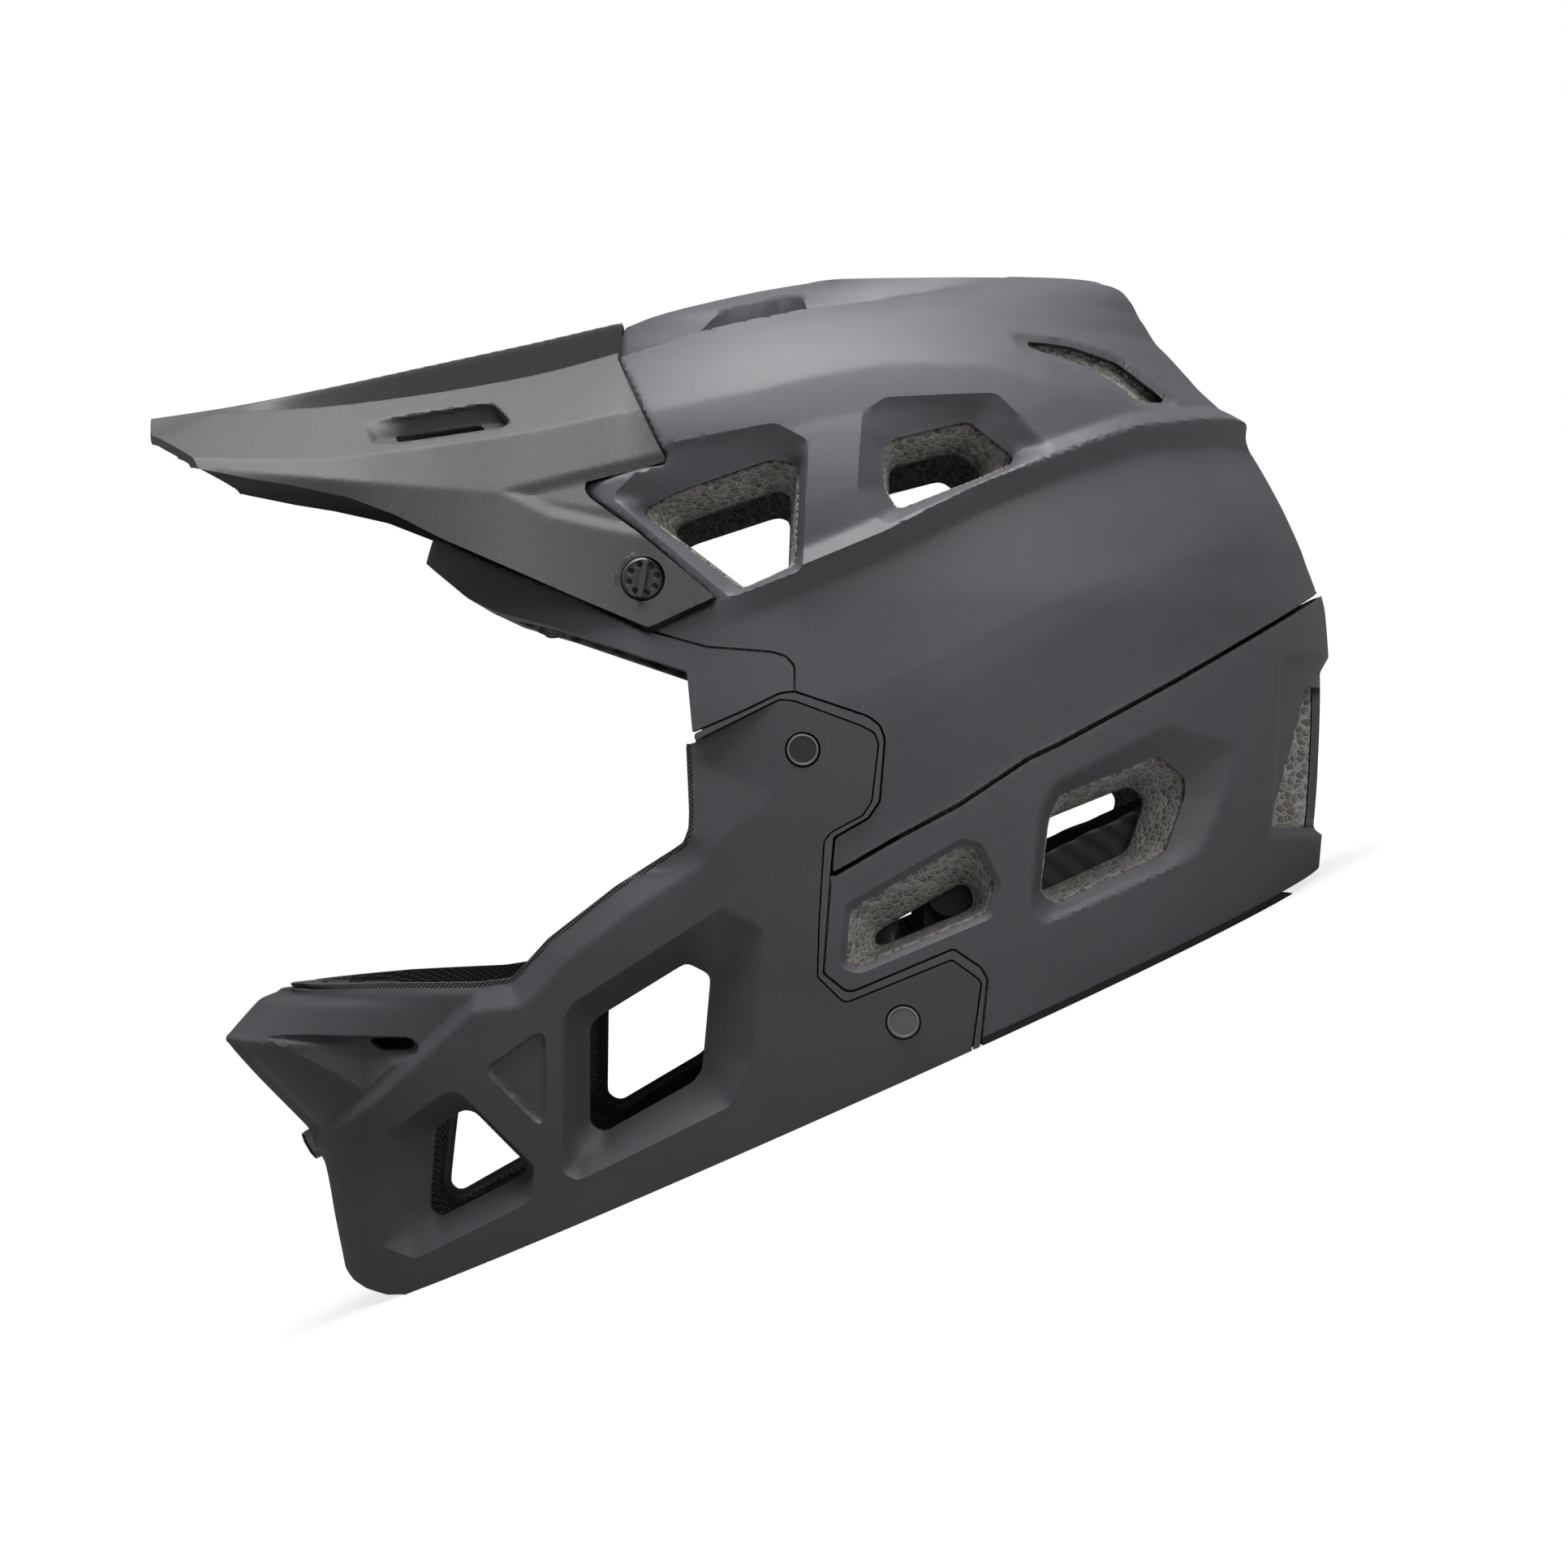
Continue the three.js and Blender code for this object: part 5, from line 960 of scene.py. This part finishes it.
def build_buttons():
    for level, place in BUTTONS.items():
        for side, sign in SIDES:
            node = "release_button_%s_%s" % (level, side)
            low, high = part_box(node)
            face = (high.y if sign > 0 else -low.y) * 1000
            root = (low.y if sign > 0 else -high.y) * 1000
            profile = [(1.8, root), (1.8, face - 3.0), (5.0, face - 3.0), (5.0, face - 0.45),
                       (4.7, face - 0.1), (4.35, face), (4.2, face - 0.15), (3.9, face - 0.25)]
            profile = [(r, sign * y) for r, y in profile]
            # The lower buttons take the lighter copy of the button plastic, which is painted light
            o = lathe(node + "_cap", profile, place, M["button" if level == "upper" else "lower"])
            # The thin ring at the cap's rim takes the pale plastic, a painted highlight
            o.data.materials.append(M["pale"])
            for p in o.data.polygons:
                centre = sum((o.data.vertices[v].co.y for v in p.vertices), 0) / len(p.vertices)
                if abs(abs(centre) * 1000 - face + 0.05) < 0.04 and len(p.vertices) == 4:
                    p.material_index = 1
            settle(o, node, "button", node)


def build_springs():
    """The coil behind each button."""
    turns, steps, sides, wire, radius = 3.0, 72, 8, 0.35, 4.3
    for level, (x, z) in BUTTONS.items():
        for side, sign in SIDES:
            node = "button_spring_%s_%s" % (level, side)
            low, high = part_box(node)
            floor, top = (low.y, high.y) if sign > 0 else (-high.y, -low.y)
            floor, top = floor * 1000 + wire, top * 1000 - wire
            rings = []
            for i in range(steps + 1):
                a = 2 * math.pi * turns * i / steps
                for k in range(sides):
                    b = 2 * math.pi * k / sides
                    r = radius + wire * math.cos(b)
                    y = floor + (top - floor) * i / steps + wire * math.sin(b)
                    rings.append((x + r * math.cos(a), sign * y, z + r * math.sin(a)))
            faces = [[i * sides + k, i * sides + (k + 1) % sides, (i + 1) * sides + (k + 1) % sides,
                      (i + 1) * sides + k] for i in range(steps) for k in range(sides)]
            faces += [list(range(sides))[::-1], [steps * sides + k for k in range(sides)]]
            o = mesh_object(node + "_coil", raked(rings), faces, M["steel"], 38)
            settle(o, "chin_guard", "spring", node)
            end = tuple(raked([(x, sign * (floor - wire), z)])[0])
            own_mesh(o)


def build_cap():
    """A thin frame plate with a lighter core."""
    grid = Grid((0.6, 0.3), (-162, -146), (0, 8), (-126, -109))
    height, ring = cap_frame(grid)
    f = maximum(cap_field(grid, 0.0), (ring - 4.6 + height - 1.6 + 0.8) * 0.707)
    f = maximum(maximum(f, 0.75 - height), 3.0 - ring)
    centre_piece("chin_cap_frame", [f], grid, M["button"], "chin_guard", "button", "chin_cap")
    core = maximum(ring - np.where(height > 0.7, 2.9, 4.35), np.abs(height + 0.6) - 2.0)
    centre_piece("chin_cap_core", [core], grid, M["core"], "chin_guard", "button")


def build_nets():
    """Woven net behind each scoop: a thin curved sheet."""
    grid = Grid((1.6, 0.9), (-140, -106), (12, 60), (-92, -72))
    d = grid.form()
    f = maximum(d + 14.3, -(d + 15.1))
    out = poly([(-138.7, -74.2), (-108.3, -74.2), (-108.3, -89.1), (-138.7, -89.1)], grid.X, grid.Z)
    f = maximum(maximum(f, grid.tall(out)), 16 - grid.Y3)
    side_pieces("scoop_net", [f], grid, M["net"], "chin_guard", "mesh", "scoop_mesh_SIDE")


# ---- pads
def read(items, key):
    values = np.empty(len(items) * 3)
    items.foreach_get(key, values)
    return values.reshape(-1, 3)


def cushion(name, node, shrink=1.2):
    """A padded piece made from its CAD solid: remeshed, inflated as cloth, then smoothed."""
    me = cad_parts[node].data.copy()
    o = put(name, me)
    me.materials.clear()
    me.materials.append(M["pad"])
    mod = o.modifiers.new("remesh", "REMESH")
    mod.mode, mod.voxel_size = "VOXEL", 0.005
    bake(o)
    me = o.data
    normal = read(me.vertex_normals, "vector")
    inset = read(me.vertices, "co") - normal * shrink * 0.001
    me.vertices.foreach_set("co", inset.ravel())
    cloth, last = o.modifiers.new("cloth", "CLOTH"), 20
    cloth.settings.use_pressure = True
    cloth.settings.uniform_pressure_force = 4.0
    cloth.settings.effector_weights.gravity = 0.0
    cloth.settings.quality = 4
    cloth.point_cache.frame_start, cloth.point_cache.frame_end = 1, last
    scene = bpy.context.scene
    for k in range(1, last + 1):
        scene.frame_set(k)
    bake(o)
    me = o.data
    move = read(me.vertices, "co") - inset
    size = np.linalg.norm(move, axis=1, keepdims=True)
    held = minimum(1, shrink * 0.001 / maximum(size, 1e-9))
    me.vertices.foreach_set("co", (inset + move * held).ravel())
    scene.frame_set(1)
    sub = o.modifiers.new("smooth", "SUBSURF")
    sub.levels = sub.render_levels = 1
    bake(o)
    shade(o.data)
    settle(o, "helmet", "fabric", node)


def bake(o):
    """Replaces an object's mesh by what its modifiers make, and drops them."""
    deps = bpy.context.evaluated_depsgraph_get()
    made = bpy.data.meshes.new_from_object(o.evaluated_get(deps))
    old = o.data
    o.modifiers.clear()
    o.data = made
    bpy.data.meshes.remove(old)


def build_pads():
    for side, _ in SIDES:
        cushion("cheek_cushion_" + side, "cheek_pad_" + side, shrink=2.0)
        cushion("side_cushion_" + side, "side_pad_" + side)
    for place in ("brow", "neck", "crown"):
        cushion(place + "_cushion", place + "_pad")


# ---- camera, light, floor
def build_studio():
    scene = bpy.context.scene
    camera = bpy.data.cameras.new("camera")
    camera.lens, camera.sensor_width, camera.clip_end = 112.5, 36.0, 60.0
    scene.camera = put("camera", camera)
    turn = Matrix(((COS, 0, -SIN), (SIN, 0, COS), (0, -1, 0))).transposed().to_4x4()
    place = Vector((SHIFT[0] / 1000, -CAMERA_AWAY, SHIFT[1] / 1000))
    scene.camera.matrix_world = Matrix.Translation(place) @ turn
    scene.view_settings.view_transform = "Standard"
    # White where the camera sees it, and dimmer as a light
    scene.world = bpy.data.worlds.new("studio")
    scene.world.use_nodes = True
    t = scene.world.node_tree
    path = add(t, "LightPath").outputs
    seen = add(t, "Math", ((0, path["Is Camera Ray"]), (1, path["Is Transmission Ray"])),
               operation="MAXIMUM")
    level = add(t, "MapRange", Value=seen.outputs[0], **{"To Min": 0.21, "To Max": 1.0})
    give(t.nodes["Background"], Color=(1, 1, 1, 1), Strength=level.outputs["Result"])
    # The floor whitens away from the object, so its horizon doesn't show
    me = bpy.data.meshes.new("floor")
    s = 14.0
    me.from_pydata([(-s, -s, 0), (s, -s, 0), (s, s, 0), (-s, s, 0)], [], [(0, 1, 2, 3)])
    floor = put("floor", me)
    m, t, b = new_material("floor_white")
    away = add(t, "VectorMath", ((0, coords(t)),), operation="LENGTH").outputs["Value"]
    fade = add(t, "MapRange", Value=away, **{"From Min": 0.25, "From Max": 1.0, "To Min": 0.78,
                                             "To Max": 1.0})
    seen = add(t, "LightPath").outputs["Is Camera Ray"]
    glow = add(t, "Math", ((0, seen), (1, fade.outputs["Result"])), operation="MULTIPLY")
    give(b, Roughness=0.9, **{"Base Color": (0.2, 0.2, 0.2, 1), "Specular IOR Level": 0.1,
                              "Emission Color": (1, 1, 1, 1), "Emission Strength": glow.outputs[0]})
    me.materials.append(m)
    aim = Vector((0.0, 0.0, 0.13))
    for name, place, size, watts in (("top", (0.45, -0.3, 2.0), 1.5, 80),
                                     ("side", (1.15, -2.0, 0.75), 1.2, 18.5)):
        lamp = bpy.data.lights.new(name, "AREA")
        lamp.shape, lamp.size, lamp.energy = "SQUARE", size, watts
        light = put(name, lamp)
        light.location = place
        light.rotation_euler = (aim - Vector(place)).to_track_quat("-Z", "Y").to_euler()


# The start of each name that stays, and its material
CARRIED = {"visor_washer": "seal", "visor_insert": "steel", "latch_socket": "steel",
           "strap_anchor": "seal", "strap_left": "web", "strap_right": "web", "buckle": "button"}


def dress_nodes():
    """Materials for the CAD nodes that stay."""
    for name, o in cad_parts.items():
        for start, material in CARRIED.items():
            if name.startswith(start):
                for s in o.material_slots:
                    s.material = M[material]


build_studio()
build_shells()
build_trim()
build_dock_frames()
build_guard()
build_visor()
build_screws()
build_buttons()
build_springs()
build_cap()
build_nets()
build_pads()
dress_nodes()
